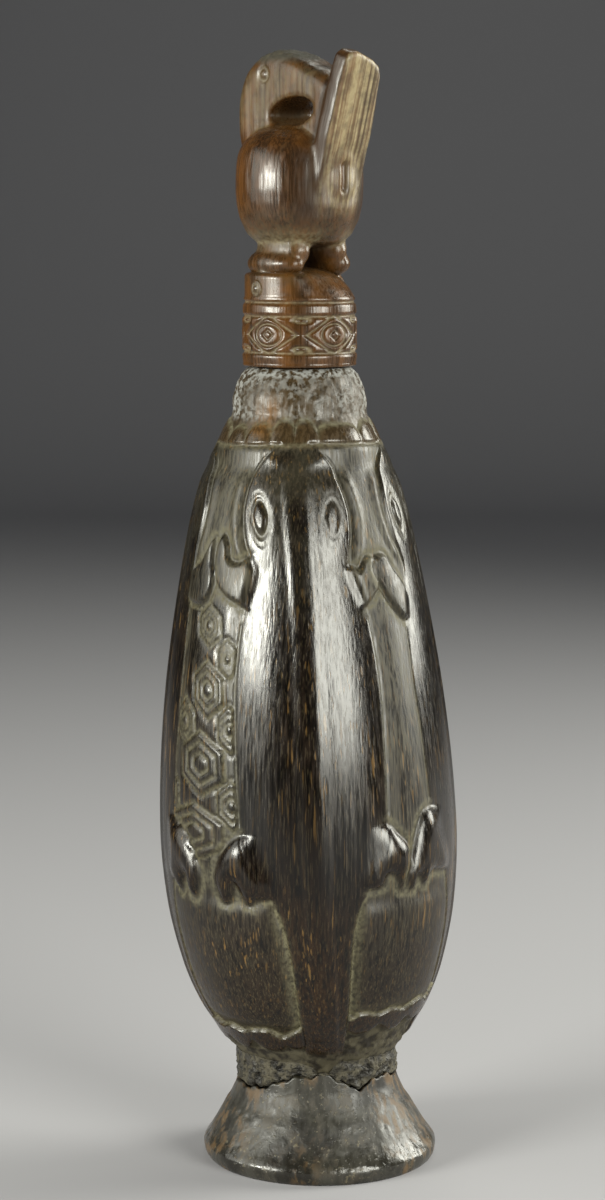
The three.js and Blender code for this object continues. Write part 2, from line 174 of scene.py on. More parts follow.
def spun(profile, steps, closed=False):
    # turns radius and height pairs about the flask's axis; every vertex remembers its row
    bm = bmesh.new()
    row = bm.verts.layers.int.new("row")
    verts = [bm.verts.new((0, -radius * mm, height * mm)) for radius, height in profile]
    for index, vert in enumerate(verts):
        vert[row] = index
    for pair in zip(verts, verts[1:] + verts[:closed]):
        bm.edges.new(pair)
    bmesh.ops.spin(
        bm, geom=bm.verts[:] + bm.edges[:], cent=(0, 0, 0), axis=(0, 0, 1),
        dvec=(0, 0, 0), angle=fullTurn, steps=steps, use_merge=True,
    )
    bmesh.ops.remove_doubles(bm, verts=bm.verts[:], dist=1e-6)
    bmesh.ops.recalc_face_normals(bm, faces=bm.faces[:])
    return bm


def gridOf(mesh, steps):
    # the row and column of every vertex of a spun mesh
    rows = np.zeros(len(mesh.vertices), np.int32)
    mesh.attributes["row"].data.foreach_get("value", rows)
    mesh.attributes.remove(mesh.attributes["row"])
    x, y, _ = vectorsOf(mesh).T
    return rows, np.round(np.arctan2(x, -y) / fullTurn * steps).astype(int) % steps


def turnedMesh(name, profile, columns, closed=False):
    # a spun mesh, with each vertex's row, angle, radius and height
    mesh = meshFrom(spun(profile, columns, closed), name)
    rows, turns = gridOf(mesh, columns)
    radius, height = np.array(profile, dtype=float)[rows].T
    return mesh, rows, wrapped(turns * fullTurn / columns), radius, height


# ---- camera and light
camera = {"place": (-0.0032, -0.512, 0.16834), "pitch": 7.6, "lens": 88.05, "sensor": 36}
studio = {
    "paper": (0.37, 0.367, 0.39), "paperRough": 0.9,
    # the sheet's half width, front edge, where it starts to curve up, the curve's radius, its top
    "halfWide": 2.4, "front": -2.2, "bend": 1.1, "curve": 0.5, "top": 2.6,
    "room": (0.5, 0.53, 0.58), "roomStrength": 0.1,
    "warmth": (0.975, 0.97, 0.87), "aim": (0, 0, 0.09),
    # azimuth from the front towards +X, elevation, distance, width, height, power, spread
    "lights": {
        "leftWindow": (-57, 10, 0.8, 0.34, 0.13, 2.6, 100),
        "rightWindow": (42, 10, 0.8, 0.4, 0.3, 2.5, 100),
        "leftFill": (-82, 16, 0.9, 0.6, 0.6, 2.1, 140),
        "rightRim": (108, 18, 0.8, 0.36, 0.46, 3.8, 120),
        "overhead": (165, 60, 0.9, 0.5, 0.3, 0.9, 120),
    },
}


def makeCamera():
    data = bpy.data.cameras.new("photoCamera")
    data.lens, data.sensor_width, data.clip_start = camera["lens"], camera["sensor"], 0.01
    made = linked("photoCamera", data)
    made.location = camera["place"]
    made.rotation_euler = (math.radians(90 - camera["pitch"]), 0, 0)
    bpy.context.scene.camera = made


def makeStage():
    # a sheet that runs over the floor and curves up behind
    bend, curve = studio["bend"], studio["curve"]
    path = [(studio["front"], 0), (bend, 0)]
    for turn in np.radians(np.linspace(0, 90, 13)[1:]):
        path.append((bend + curve * math.sin(turn), curve - curve * math.cos(turn)))
    path.append((bend + curve, studio["top"]))
    bm = bmesh.new()
    verts = [bm.verts.new((-studio["halfWide"], y, z)) for y, z in path]
    edges = [bm.edges.new(pair) for pair in zip(verts, verts[1:])]
    wide = bmesh.ops.extrude_edge_only(bm, edges=edges)
    moved = [v for v in wide["geom"] if isinstance(v, bmesh.types.BMVert)]
    bmesh.ops.translate(bm, verts=moved, vec=(2 * studio["halfWide"], 0, 0))
    bmesh.ops.recalc_face_normals(bm, faces=bm.faces[:])
    sweep = linked("paperSweep", meshFrom(bm, "paperSweep"))
    sweep.data.shade_smooth()
    paper = bpy.data.materials.new("paper")
    paper.use_nodes = True
    shader = paper.node_tree.nodes["Principled BSDF"]
    shader.inputs["Base Color"].default_value = (*studio["paper"], 1)
    shader.inputs["Roughness"].default_value = studio["paperRough"]
    sweep.data.materials.append(paper)


def makeLights():
    world = bpy.data.worlds.new("room")
    world.use_nodes = True
    back = world.node_tree.nodes["Background"]
    back.inputs["Color"].default_value = (*studio["room"], 1)
    back.inputs["Strength"].default_value = studio["roomStrength"]
    bpy.context.scene.world = world
    bpy.context.scene.view_settings.view_transform = "Standard"
    for name, values in studio["lights"].items():
        azimuth, elevation, distance, width, height, power, spread = values
        data = bpy.data.lights.new(name, "AREA")
        data.shape = "RECTANGLE"
        data.size, data.size_y, data.energy = width, height, power
        data.spread = math.radians(spread)
        data.color = studio["warmth"]
        around, up = math.radians(azimuth), math.radians(elevation)
        level = math.cos(up)
        away = Vector((math.sin(around) * level, -math.cos(around) * level, math.sin(up)))
        lamp = linked(name, data)
        lamp.location = Vector(studio["aim"]) + away * distance
        lamp.rotation_euler = away.to_track_quat("Z", "Y").to_euler()


makeCamera()
makeStage()
makeLights()
print("camera, paper and lights are set")


# ---- shader parts
class Shading:
    # adds nodes to one tree; what goes in is a number, a colour or another node's socket
    def __init__(self, tree):
        self.tree = tree

    def add(self, kind, inputs, **settings):
        made = self.tree.nodes.new("ShaderNode" + kind)
        for name, value in settings.items():
            setattr(made, name, value)
        for name, value in inputs.items():
            if isinstance(value, bpy.types.NodeSocket):
                self.tree.links.new(value, made.inputs[name])
            else:
                made.inputs[name].default_value = value
        return made

    def calculate(self, operation, first, second, clamp=False):
        inputs = {0: first, 1: second}
        return self.add("Math", inputs, operation=operation, use_clamp=clamp).outputs[0]

    def times(self, first, *others):
        for other in others:
            first = self.calculate("MULTIPLY", first, other)
        return first

    def total(self, value, *layers, clamp=False):
        # a value with masks added to it, each times its amount
        for mask, amount in layers:
            value = self.calculate("ADD", value, self.times(mask, amount), clamp)
        return value

    def ramp(self, value, low, high, start=0.0, end=1.0):
        inputs = {"Value": value, "From Min": low, "From Max": high, "To Min": start, "To Max": end}
        return self.add("MapRange", inputs, interpolation_type="SMOOTHSTEP").outputs[0]

    def between(self, share, start, end):
        return self.ramp(share, 0, 1, start, end)

    def mix(self, share, first, second):
        first, second = ((*c, 1) if isinstance(c, tuple) else c for c in (first, second))
        return self.add("Mix", {0: share, 6: first, 7: second}, data_type="RGBA").outputs[2]

    def stretched(self, vector, width, length):
        # places in which a fibre of this width and length is one unit
        size = self.add("CombineXYZ", {"X": width, "Y": width, "Z": length}).outputs[0]
        return self.add("VectorMath", {0: vector, 1: size}, operation="DIVIDE").outputs[0]

    def shared(self, tree, **inputs):
        return self.add("Group", {"Vector": self.place, **inputs}, node_tree=tree).outputs

    def fibres(self, width, length, detail):
        return self.shared(fibre, Width=width, Length=length, Detail=detail)

    def dashes(self, width, length, share):
        return self.shared(flecks, Width=width, Length=length, Share=share)["Mask"]

    def dirtIn(self, grime, grain, amount):
        return self.shared(dirt, Grime=grime, Grain=grain, Amount=amount)["Mask"]

    def patch(self, size, start, edge, detail=4.0):
        return self.shared(patches, Size=size, Start=start, Edge=edge, Detail=detail)["Mask"]

    def masks(self, *names):
        return [self.add("Attribute", {}, attribute_name=name).outputs["Fac"] for name in names]

    def finish(self, colour, rough, relief, strength, distance, specular=0.5):
        bump = self.add("Bump", {"Height": relief, "Strength": strength, "Distance": distance})
        shader = self.tree.nodes["Principled BSDF"]
        self.tree.links.new(colour, shader.inputs["Base Color"])
        self.tree.links.new(rough, shader.inputs["Roughness"])
        self.tree.links.new(bump.outputs[0], shader.inputs["Normal"])
        shader.inputs["Specular IOR Level"].default_value = specular


def group(name, outputs, **inputs):
    # a shared effect that takes a vector and some numbers
    tree = bpy.data.node_groups.new(name, "ShaderNodeTree")
    tree.interface.new_socket("Vector", in_out="INPUT", socket_type="NodeSocketVector")
    for label, value in inputs.items():
        socket = tree.interface.new_socket(label, in_out="INPUT", socket_type="NodeSocketFloat")
        socket.default_value = value
    for label in outputs:
        tree.interface.new_socket(label, in_out="OUTPUT", socket_type="NodeSocketFloat")
    given = tree.nodes.new("NodeGroupInput").outputs
    return Shading(tree), given, tree.nodes.new("NodeGroupOutput").inputs


def buildFibre():
    # long fibres: a tone that varies across them, and their height
    sizes = {"Width": 0.0005, "Length": 0.02, "Detail": 3.0}
    parts, given, out = group("woodFibre", ["Tone", "Height"], **sizes)
    place = parts.stretched(given["Vector"], given["Width"], given["Length"])
    coarse = parts.add("TexNoise", {"Vector": place, "Scale": 1.0, "Detail": given["Detail"]})
    parts.tree.links.new(parts.ramp(coarse.outputs["Fac"], 0.3, 0.7), out["Tone"])
    parts.tree.links.new(coarse.outputs["Fac"], out["Height"])
    return parts.tree


def buildFlecks():
    # the short pale vessels of palm wood, as separate dashes
    parts, given, out = group("palmFlecks", ["Mask"], Width=0.0011, Length=0.009, Share=0.3)
    place = parts.stretched(given["Vector"], given["Width"], given["Length"])
    waver = parts.add("TexNoise", {"Vector": place, "Scale": 1.6, "Detail": 2.0})
    moved = parts.add("VectorMath", {0: waver.outputs["Color"], 1: place}, operation="ADD")
    cells = parts.add("TexVoronoi", {"Vector": moved.outputs[0], "Scale": 1.0, "Randomness": 1.0})
    split = parts.add("SeparateColor", {0: cells.outputs["Color"]}).outputs
    core = parts.ramp(cells.outputs["Distance"], 0.34, 0.16)
    chosen = parts.calculate("LESS_THAN", split[0], given["Share"])
    mask = parts.times(core, chosen, parts.between(split[1], 0.35, 1.0))
    parts.tree.links.new(mask, out["Mask"])
    return parts.tree


def buildDirt():
    # pale dirt that lies in the carving, broken up a little
    parts, given, out = group("carvingDirt", ["Mask"], Grime=0.0, Grain=900.0, Amount=1.0)
    inputs = {"Vector": given["Vector"], "Scale": given["Grain"], "Detail": 4.0}
    broken = parts.ramp(parts.add("TexNoise", inputs).outputs["Fac"], 0.3, 0.66, 0.3, 1.2)
    shown = parts.times(given["Grime"], broken)
    parts.tree.links.new(parts.calculate("MULTIPLY", shown, given["Amount"], True), out["Mask"])
    return parts.tree


def buildPatches():
    # soft-edged patches, for worn, dusty or stained places
    parts, given, out = group("patches", ["Mask"], Size=0.01, Start=0.5, Edge=0.1, Detail=4.0)
    inputs = {0: given["Vector"], "Scale": parts.calculate("DIVIDE", 1.0, given["Size"])}
    place = parts.add("VectorMath", inputs, operation="SCALE").outputs[0]
    cloud = parts.add("TexNoise", {"Vector": place, "Scale": 1.0, "Detail": given["Detail"]})
    end = parts.calculate("ADD", given["Start"], given["Edge"])
    parts.tree.links.new(parts.ramp(cloud.outputs["Fac"], given["Start"], end), out["Mask"])
    return parts.tree


fibre, flecks, dirt, patches = buildFibre(), buildFlecks(), buildDirt(), buildPatches()


def newFinish(name, grain=None):
    # patterns lie on the piece's own places, or on its grain where it has one
    material = bpy.data.materials.new(name)
    material.use_nodes = True
    parts = Shading(material.node_tree)
    if grain:
        parts.place = parts.add("Attribute", {}, attribute_name=grain).outputs["Vector"]
    else:
        parts.place = parts.add("TexCoord", {}).outputs["Object"]
    return material, parts


palmLook = {
    "dark": (0.0015, 0.0011, 0.0008), "brown": (0.0125, 0.0068, 0.003),
    "fleck": (0.15, 0.086, 0.026), "pores": (0.06, 0.046, 0.022),
    "dirt": (0.118, 0.107, 0.062), "russet": (0.03, 0.0135, 0.0035),
    "panel": (0.0095, 0.0068, 0.0028), "veil": (0.062, 0.056, 0.036),
    "neck": (0.044, 0.028, 0.012), "lime": (0.245, 0.248, 0.236),
    "amber": (0.13, 0.06, 0.013), "crumbs": (0.06, 0.052, 0.031),
    "gloss": (0.15, 0.27),  # roughness of the polished lizards, least and most
    "dull": (0.3, 0.46),  # and of the panels between them
    "specular": 0.4, "bump": (0.4, 0.0001),  # the bump's strength and distance
    "dirtPattern": (1400.0, 0.85),  # how fine the dirt is, and how much of it
    # fibres: width, length, detail
    "tone": (0.0005, 0.025, 6.0), "fine": (0.00024, 0.0042, 3.0),
    # dashes: width, length, how many of them
    "longDash": (0.0009, 0.015, 0.32), "shortDash": (0.0005, 0.008, 0.5),
    # patches: size, where they start, edge, detail
    "cloud": (0.022, 0.35, 0.35), "worn": (0.007, 0.3, 0.4), "limed": (0.0042, 0.42, 0.16),
    "crumbled": (0.0009, 0.4, 0.2, 8.0), "crumb": (0.0018, 0.36, 0.24, 8.0),
    # heights in metres over which a finish comes in
    "russetBelow": (0.066, 0.03), "veilAbove": (0.03, 0.118), "shoulder": (0.092, 0.125),
    "shoulderEnd": (0.129, 0.127), "neckAbove": (0.1275, 0.1285),
    "crustAbove": (0.1315, 0.1335), "rim": (0.1388, 0.1402),
}


def palmWood():
    material, wood = newFinish("palmWood")
    look = palmLook
    height = wood.add("SeparateXYZ", {0: wood.place}).outputs["Z"]
    grime, matt, stain, putty, lime = wood.masks("grime", "matt", "amber", "putty", "lime")
    grain, fine = wood.fibres(*look["tone"]), wood.fibres(*look["fine"])
    tone = grain["Tone"]
    cloud, worn = wood.patch(*look["cloud"]), wood.patch(*look["worn"])
    brownShare = wood.times(tone, wood.between(cloud, 0.25, 0.95))
    colour = wood.mix(brownShare, look["dark"], look["brown"])
    # the lower body is less handled, so its brown shows more
    lower = wood.times(tone, wood.ramp(height, *look["russetBelow"], 0, 0.5))
    colour = wood.mix(lower, colour, look["russet"])
    # the panels are greyer and drier, more so towards the top
    dry = wood.times(matt, wood.between(worn, 0.45, 1.0), wood.between(tone, 0.1, 1.0))
    grey = wood.mix(wood.ramp(height, *look["veilAbove"]), look["panel"], look["veil"])
    colour = wood.mix(dry, colour, grey)
    longShare = wood.times(wood.dashes(*look["longDash"]), wood.between(cloud, 0.08, 0.85))
    shortShare = wood.times(wood.dashes(*look["shortDash"]), wood.between(cloud, 0.25, 0.7))
    fleckShare = wood.calculate("MAXIMUM", longShare, shortShare)
    colour = wood.mix(fleckShare, colour, look["fleck"])
    # fine pores that hold pale dust, most on the unpolished places
    poreShare = wood.times(wood.ramp(fine["Tone"], 0.66, 0.95), wood.between(matt, 0.22, 0.45))
    colour = wood.mix(poreShare, colour, look["pores"])
    # a veil of handling dust over the shoulders, up to the band of half-domes
    top = wood.times(*(wood.ramp(height, *look[name]) for name in ("shoulder", "shoulderEnd")))
    veilShare = wood.times(top, worn, 0.3)
    colour = wood.mix(veilShare, colour, look["veil"])
    # the neck is browner, with a crust of lime in crumbs and round the mouth; on the left of the
    # neck the pale crust is also a painted highlight
    brownNeck = wood.times(wood.ramp(height, *look["neckAbove"]), wood.between(tone, 0.5, 1.0))
    colour = wood.mix(brownNeck, colour, look["neck"])
    dirtShare = wood.dirtIn(grime, *look["dirtPattern"])
    colour = wood.mix(dirtShare, colour, look["dirt"])
    rim = wood.ramp(height, *look["rim"])
    limed = wood.calculate("MAXIMUM", wood.patch(*look["limed"]), rim)
    crust = wood.times(wood.patch(*look["crumbled"]), wood.between(limed, 0.3, 0.95),
                       wood.calculate("MAXIMUM", lime, rim), wood.ramp(height, *look["crustAbove"]))
    colour = wood.mix(crust, colour, look["lime"])
    colour = wood.mix(wood.times(stain, wood.between(tone, 0.3, 0.95)), colour, look["amber"])
    # putty smeared over the lowest part
    crumb = wood.patch(*look["crumb"])
    smeared = wood.mix(crumb, look["panel"], look["crumbs"])
    colour = wood.mix(wood.times(putty, 0.9), colour, smeared)
    # the lizards shine and the panels are dull
    gloss, dull = wood.between(tone, *look["gloss"]), wood.between(tone, *look["dull"])
    spread = wood.times(wood.calculate("SUBTRACT", dull, gloss), matt)
    rough = wood.total(wood.calculate("ADD", gloss, spread), (poreShare, 0.25), (veilShare, 0.2),
                       (dirtShare, 0.4), (crust, 0.5), (putty, 0.4), clamp=True)
    relief = wood.total(grain["Height"], (fleckShare, -0.4), (fine["Height"], 0.35), (crust, 1.6),
                        (wood.times(crumb, putty), 2.2))
    wood.finish(colour, rough, relief, *look["bump"], look["specular"])
    return material


footLook = {
    "dark": (0.007, 0.0058, 0.0038), "grey": (0.036, 0.034, 0.027),
    "orange": (0.1, 0.058, 0.022), "pale": (0.13, 0.11, 0.065),
    "tone": (0.0012, 0.006, 8.0),  # fibres, then patches, as above
    "cloud": (0.009, 0.4, 0.14, 6.0), "stains": (0.004, 0.42, 0.18, 8.0),
    "speck": (0.0007, 0.6, 0.08), "bump": (0.5, 0.00018),
}


def footWood():
    material, wood = newFinish("footWood")
    look = footLook
    worn, warm = wood.masks("worn", "warm")
    grain = wood.fibres(*look["tone"])
    tone = grain["Tone"]
    cloud, stains, speck = (wood.patch(*look[name]) for name in ("cloud", "stains", "speck"))
    greyShare = wood.times(wood.between(tone, 0.55, 1.0), wood.between(cloud, 0.2, 1.0))
    colour = wood.mix(greyShare, look["dark"], look["grey"])
    warmShare = wood.times(wood.ramp(tone, 0.25, 0.7), stains, wood.between(warm, 0.1, 0.75))
    colour = wood.mix(warmShare, colour, look["orange"])
    colour = wood.mix(wood.times(speck, wood.between(stains, 0.12, 0.6)), colour, look["pale"])
    rough = wood.total(wood.between(tone, 0.38, 0.5), (worn, -0.2), (cloud, -0.06),
                       (stains, 0.14), clamp=True)
    relief = wood.total(grain["Height"], (speck, 0.3), (stains, -0.7))
    wood.finish(colour, rough, relief, *look["bump"])
    return material


puttyLook = {
    "dark": (0.013, 0.011, 0.007), "pale": (0.062, 0.054, 0.034), "stain": (0.005, 0.004, 0.0025),
    "cloud": (0.0018, 0.36, 0.28, 8.0), "stained": (0.0011, 0.52, 0.1, 6.0), "grit": 1300.0,
    "bump": (0.9, 0.0005),
}


def puttyFinish():
    material, paste = newFinish("puttyFinish")
    look = puttyLook
    grime = paste.masks("grime")[0]
    cloud, stained = paste.patch(*look["cloud"]), paste.patch(*look["stained"])
    colour = paste.mix(cloud, look["dark"], look["pale"])
    colour = paste.mix(paste.times(stained, 0.7), colour, look["stain"])
    colour = paste.mix(grime, colour, look["stain"])
    grit = paste.add("TexNoise", {"Vector": paste.place, "Scale": look["grit"], "Detail": 8.0})
    relief = paste.total(grit.outputs["Fac"], (stained, -0.5))
    paste.finish(colour, paste.between(cloud, 0.5, 0.8), relief, *look["bump"])
    return material


stopperLook = {
    "dark": (0.016, 0.0078, 0.003), "red": (0.058, 0.0235, 0.0055),
    "orange": (0.13, 0.05, 0.008), "dust": (0.04, 0.03, 0.0115),
    "straw": (0.25, 0.2, 0.108), "dirt": (0.165, 0.139, 0.08),
    "ash": (0.04, 0.039, 0.028), "rough": (0.2, 0.33), "specular": 0.42,
    "bump": (0.4, 0.00012), "dirtPattern": (1600.0, 0.8),
    "tone": (0.0004, 0.014, 6.0), "band": (0.004, 0.05, 2.0), "lines": (0.0005, 0.03, 3.0),
    "speckled": (0.0008, 0.35, 0.3), "mottled": (0.0022, 0.45, 0.22, 7.0),
}


def stopperWood():
    material, wood = newFinish("stopperWood", "grain")
    look = stopperLook
    grime, straw, ash, dust, shade = wood.masks("grime", "straw", "ash", "dust", "shade")
    grain, band, lines = (wood.fibres(*look[name]) for name in ("tone", "band", "lines"))
    tone = grain["Tone"]
    speckled, mottled = wood.patch(*look["speckled"]), wood.patch(*look["mottled"])
    colour = wood.mix(tone, look["dark"], look["red"])
    colour = wood.mix(wood.times(band["Tone"], 0.6), colour, look["orange"])
    dusty = wood.times(dust, wood.between(speckled, 0.35, 0.9))
    colour = wood.mix(dusty, colour, look["dust"])
    streaks = wood.times(wood.between(lines["Tone"], 0.15, 1.1), wood.between(speckled, 0.7, 1.0))
    # the straw colour, which on the hole's floor is painted light
    colour = wood.mix(wood.times(straw, streaks), colour, look["straw"])
    colour = wood.mix(ash, colour, look["ash"])
    colour = wood.mix(wood.times(mottled, 0.42), colour, look["dark"])
    dirtShare = wood.dirtIn(grime, *look["dirtPattern"])
    colour = wood.mix(dirtShare, colour, look["dirt"])
    # painted shade, wherever the bird's shade mask is set
    colour = wood.mix(shade, colour, look["dark"])
    rough = wood.total(wood.between(tone, *look["rough"]), (dirtShare, 0.4), (straw, 0.16),
                       (ash, 0.4), (dusty, 0.22), (shade, 0.1), clamp=True)
    wood.finish(colour, rough, grain["Height"], *look["bump"], look["specular"])
    return material


palm, footFinish, puttyPaste, stopperFinish = palmWood(), footWood(), puttyFinish(), stopperWood()
print("finishes are mixed")


# ---- the flask's plain shape
flask = {
    "waistHeight": 17.5, "bodyLength": 111.5, "waistRadius": 13.2, "bellyRadius": 26.5,
    "neckRadius": 14.0, "neckLength": 12.0, "lipRadius": 9.0, "wall": 4.4,
    "mouth": 141.0, "base": 15.3, "socket": 10.3, "bore": 6.05, "straight": 121.0,
    "leanShift": 3.7, "leanPower": 1.3, "crest": 1.5,
    "swell": [(0, 0), (0.02, 0.1), (0.05, 0.33), (0.1, 0.573), (0.16, 0.765), (0.258, 0.942),
              (0.381, 1), (0.57, 0.889), (0.773, 0.614), (0.925, 0.304), (1, 0)],
    "neck": [(0, 1), (0.12, 0.9), (0.34, 0.7), (0.58, 0.54), (0.82, 0.34), (0.93, 0.18), (1, 0)],
}
swell, neckCurve = through(flask["swell"]), through(flask["neck"])


def leanAt(height):
    share = np.clip(height / flask["straight"], 0, 1)
    return -flask["leanShift"] * (1 - (1 - share) ** flask["leanPower"])


def bodyShare(height):
    return np.clip((height - flask["waistHeight"]) / flask["bodyLength"], 0, 1)


def crestRadius(height):
    share = bodyShare(height)
    plain = flask["waistRadius"] + (flask["neckRadius"] - flask["waistRadius"]) * share
    body = plain + (flask["bellyRadius"] - plain) * swell(share)
    neckBase = flask["waistHeight"] + flask["bodyLength"]
    up = np.clip((height - neckBase) / flask["neckLength"], 0, 1)
    throat = flask["lipRadius"] + (flask["neckRadius"] - flask["lipRadius"]) * neckCurve(up)
    return np.where(up > 0, throat, body)


def groundRadius(height):
    # the radius under the carving
    return crestRadius(height) - flask["crest"] * window(bodyShare(height), 0, 0.07, 0.95, 1)


# ---- the carving
lizard = {
    "turns": [0, 90, 180, 264],
    "sway": [(17.5, 6), (28.6, 5), (51, 3.3), (67.7, 2.6), (86.6, 2.2), (100, 1.8), (116.7, -0.8),
             (129, -3)],
    "halfWidth": [(17.5, 2.6), (30, 4.2), (38, 4.9), (44, 5.6), (49, 6.8), (54, 9.3), (59, 12),
                  (63, 13), (85, 13), (94, 12), (101, 10.5), (107, 8.4), (109.6, 8.8), (112, 9.5),
                  (115, 9.7), (118, 9.4), (122.5, 7.8), (126, 5.3), (128.6, 2.4), (131, 1)],
    # how wide the left and right half of each lizard is, between the head and the hips
    "sides": [(1, 1), (1.08, 1), (1, 1), (1, 0.78)],
    "cheek": 0.9,  # how much narrower the right side of a head is
    "side": 1.2, "shoulderEdge": 0.6,  # rise beside the backbone, and at a thin part's edge
    "backbone": (1.7, 2.5),  # half width of the backbone, at its top and at its foot
    "eyes": [(-1, 6.5, 1.0), (1, 5.7, 0.3)],  # side, distance from the spine, how deep it is cut
    "eyeUp": 116.4, "eyeHalf": 2.1, "eyeTall": 4.1,
}
# heights where each thing comes in, is full, fades and has gone
zones = {
    "sides": (54, 62, 101, 107), "cheek": (106, 112, 122, 126), "roof": (30, 60, 100, 122),
    "backbone": (22, 28, 120, 126), "upperPanels": (55, 60, 112, 126),
    "lowerPanels": (27, 28.4, 48.5, 51.5), "welt": (107, 110, 121.5, 125),
    "cut": (24, 27, 124, 128), "lowerCut": (27, 29, 48, 51),
}
limbOutlines = {
    "frontLeftArm": [(-6.6, 110), (-10.4, 108.7), (-12.4, 108.4), (-13.3, 109.4), (-13.3, 111.4),
                     (-14.2, 113), (-15.8, 111), (-16.6, 107.6), (-16.2, 105), (-14.6, 103.2),
                     (-11.7, 101.8), (-7, 100)],
    "frontRightArm": [(5.4, 107), (6.4, 104.3), (9.4, 101), (11.8, 102.2), (13.9, 104.9),
                      (14.2, 107.9), (12.8, 109.6), (11, 109.1), (10, 107.3), (8.2, 108)],
    "rightLizardArm": [(-16.2, 109.4), (-17.6, 107.2), (-16.7, 103.7), (-14.9, 100.1),
                       (-12.7, 98.3), (-9.4, 99.8), (-10.8, 104), (-13, 107.3), (-14.1, 109.6)],
    "leftLizardArm": [(14.2, 112.2), (12.8, 109.9), (11.6, 107.8), (8.8, 106), (9, 101.5),
                      (14, 101.2), (15.8, 103.2), (15.9, 106), (14.9, 108.6)],
    "leftFoot": [(-6, 62.5), (-12.6, 62.4), (-15.7, 60.6), (-17.9, 57.8), (-19, 54.6),
                 (-18.3, 52.2), (-17, 50.2), (-15.4, 51.4), (-14.9, 54), (-13.6, 52.4),
                 (-12.2, 50.4), (-10.6, 51.6), (-6, 53)],
    "rightFoot": [(6.5, 62.5), (12.6, 64.3), (15.2, 62.3), (17.4, 60.1), (18.1, 57.2), (17, 54.4),
                  (15.5, 52.4), (14.6, 55), (12.8, 55.6), (11.2, 53.4), (7, 54.5)],
    "rightLizardFoot": [(-8, 64), (-14, 65.5), (-17.5, 64.8), (-19.6, 61.5), (-21, 57.8),
                        (-22, 54.2), (-20.8, 52.2), (-19.4, 54.6), (-17.4, 52.6), (-15.2, 54.6),
                        (-7, 54)],
}
# each lizard's limbs: outline, -1 where it is mirrored, how high it stands
limbsOf = [
    [("frontLeftArm", 1, 0.95), ("frontRightArm", 1, 0.95), ("leftFoot", 1, 1.45),
     ("rightFoot", 1, 1.45)],
    [("rightLizardArm", 1, 0.95), ("frontRightArm", 1, 0.95), ("rightLizardFoot", 1, 1.4),
     ("rightFoot", 1, 1.4)],
    [("frontRightArm", -1, 0.95), ("frontLeftArm", -1, 0.95), ("leftFoot", 1, 1.4),
     ("leftFoot", -1, 1.4)],
    [("frontLeftArm", 1, 0.95), ("leftLizardArm", 1, 0.95), ("rightFoot", -1, 1.4),
     ("leftFoot", -1, 1.4)],
]
limbs = [(number, name, [(side * x, y) for x, y in limbOutlines[name]], top)
         for number, row in enumerate(limbsOf) for name, side, top in row]
# how flat the top is, how steep the edge, where it sinks into the body, and its dullness
limbKinds = {
    "Arm": {"flat": 0.75, "power": 0.5, "sinks": (-1.8, 1.5), "dull": 0.75},
    "Foot": {"flat": 0.12, "power": 0.75, "sinks": (-2.4, 4.2), "dull": 0},
}
panels = {
    "hexagons": [3, 1],  # the panels after these lizards carry hexagons
    # degrees before the next lizard's spine, height, half width, half height; the whole ones last
    "shapes": [(33.8, 67.3, 3.2, 4.4), (35, 80.3, 2.6, 4.2), (37.5, 92.2, 2.2, 3.4),
               (74, 67.6, 3.2, 4.2), (62.5, 80.6, 2.8, 4.2), (54.3, 61.9, 7.3, 5.1),
               (50.5, 73.9, 5.6, 5.65), (48.1, 86.6, 3.6, 5.0), (50.2, 97.5, 2.7, 3.7)],
    "corner": 0.45, "lines": [(1.0, 0.42), (0.66, 0.32), (0.33, 0.36)],  # size and depth
    # the wavy line under each lower panel: share of the panel across, height; each one's shift
    "hem": [(0, 30.0), (0.12, 30.6), (0.24, 29.9), (0.36, 30.6), (0.5, 30.0), (0.62, 30.7),
            (0.74, 30.9), (0.84, 29.9), (0.92, 30.8), (1, 32.2)],
    "hemShift": [0.1, -1.4, -2.6, -3.9],
}
neckBand = {"domes": 15, "height": 128.3, "tall": 3.8, "depth": 0.75, "fades": (132.5, 136.5)}
vesselCuts = {
    # half a lizard, its edge, a panel, the next edge, half the next lizard
    "columns": [15, 4, 21, 4, 15],
    # from, to and the height of a face
    "rows": [(15.3, 22, 0.6), (22, 32, 0.72), (32, 48, 1.15), (48, 66, 0.68), (66, 95, 0.86),
             (95, 121, 0.7), (121, 133, 0.6), (133, 141, 0.6)],
    "clearance": 0.06,
    "lumps": [(0.8, 1.6, 3), (0.9, 0.75, 4)],  # crust and putty: depth, size, seed
    # amber stains round the neck: strength, degrees round, their width, height, its width
    "amber": [(1, -28, 11, 134.2, 2.0), (0.8, -31, 9, 131, 1.6), (0.5, 140, 30, 135, 2.5)],
}
swayCurve, widthCurve = through(lizard["sway"]), through(lizard["halfWidth"])
hemCurve = through(panels["hem"])


def shownAt(height, name):
    return window(height, *zones[name])


def spineAngle(number, height):
    return np.radians(lizard["turns"][number % 4] + 360 * (number // 4) + swayCurve(height))


def halfWidth(number, side, height):
    # side is below zero on a lizard's left half
    left, right = lizard["sides"][number % 4]
    factor = np.where(np.less(side, 0), left, right)
    wide = widthCurve(height) * (1 + (factor - 1) * shownAt(height, "sides"))
    return wide - lizard["cheek"] * shownAt(height, "cheek") * np.greater_equal(side, 0)


def columnAngles(height):
    # angles of a ring's columns: they follow the spines and the flanks' edges
    knots = np.cumsum([0, *vesselCuts["columns"]])
    ground = groundRadius(height)
    angles = []
    for number in range(4):
        spine, following = spineAngle(number, height), spineAngle(number + 1, height)
        span = (following - spine) * ground
        start = max(float(halfWidth(number, 1, height)), 3.0)
        end = span - max(float(halfWidth(number + 1, -1, height)), 3.0)
        places = [0, start - 0.5, start + 1.1, end - 1.1, end + 0.5, span]
        angles.append(spine + np.interp(np.arange(knots[-1]), knots, places) / ground)
    return np.concatenate(angles)


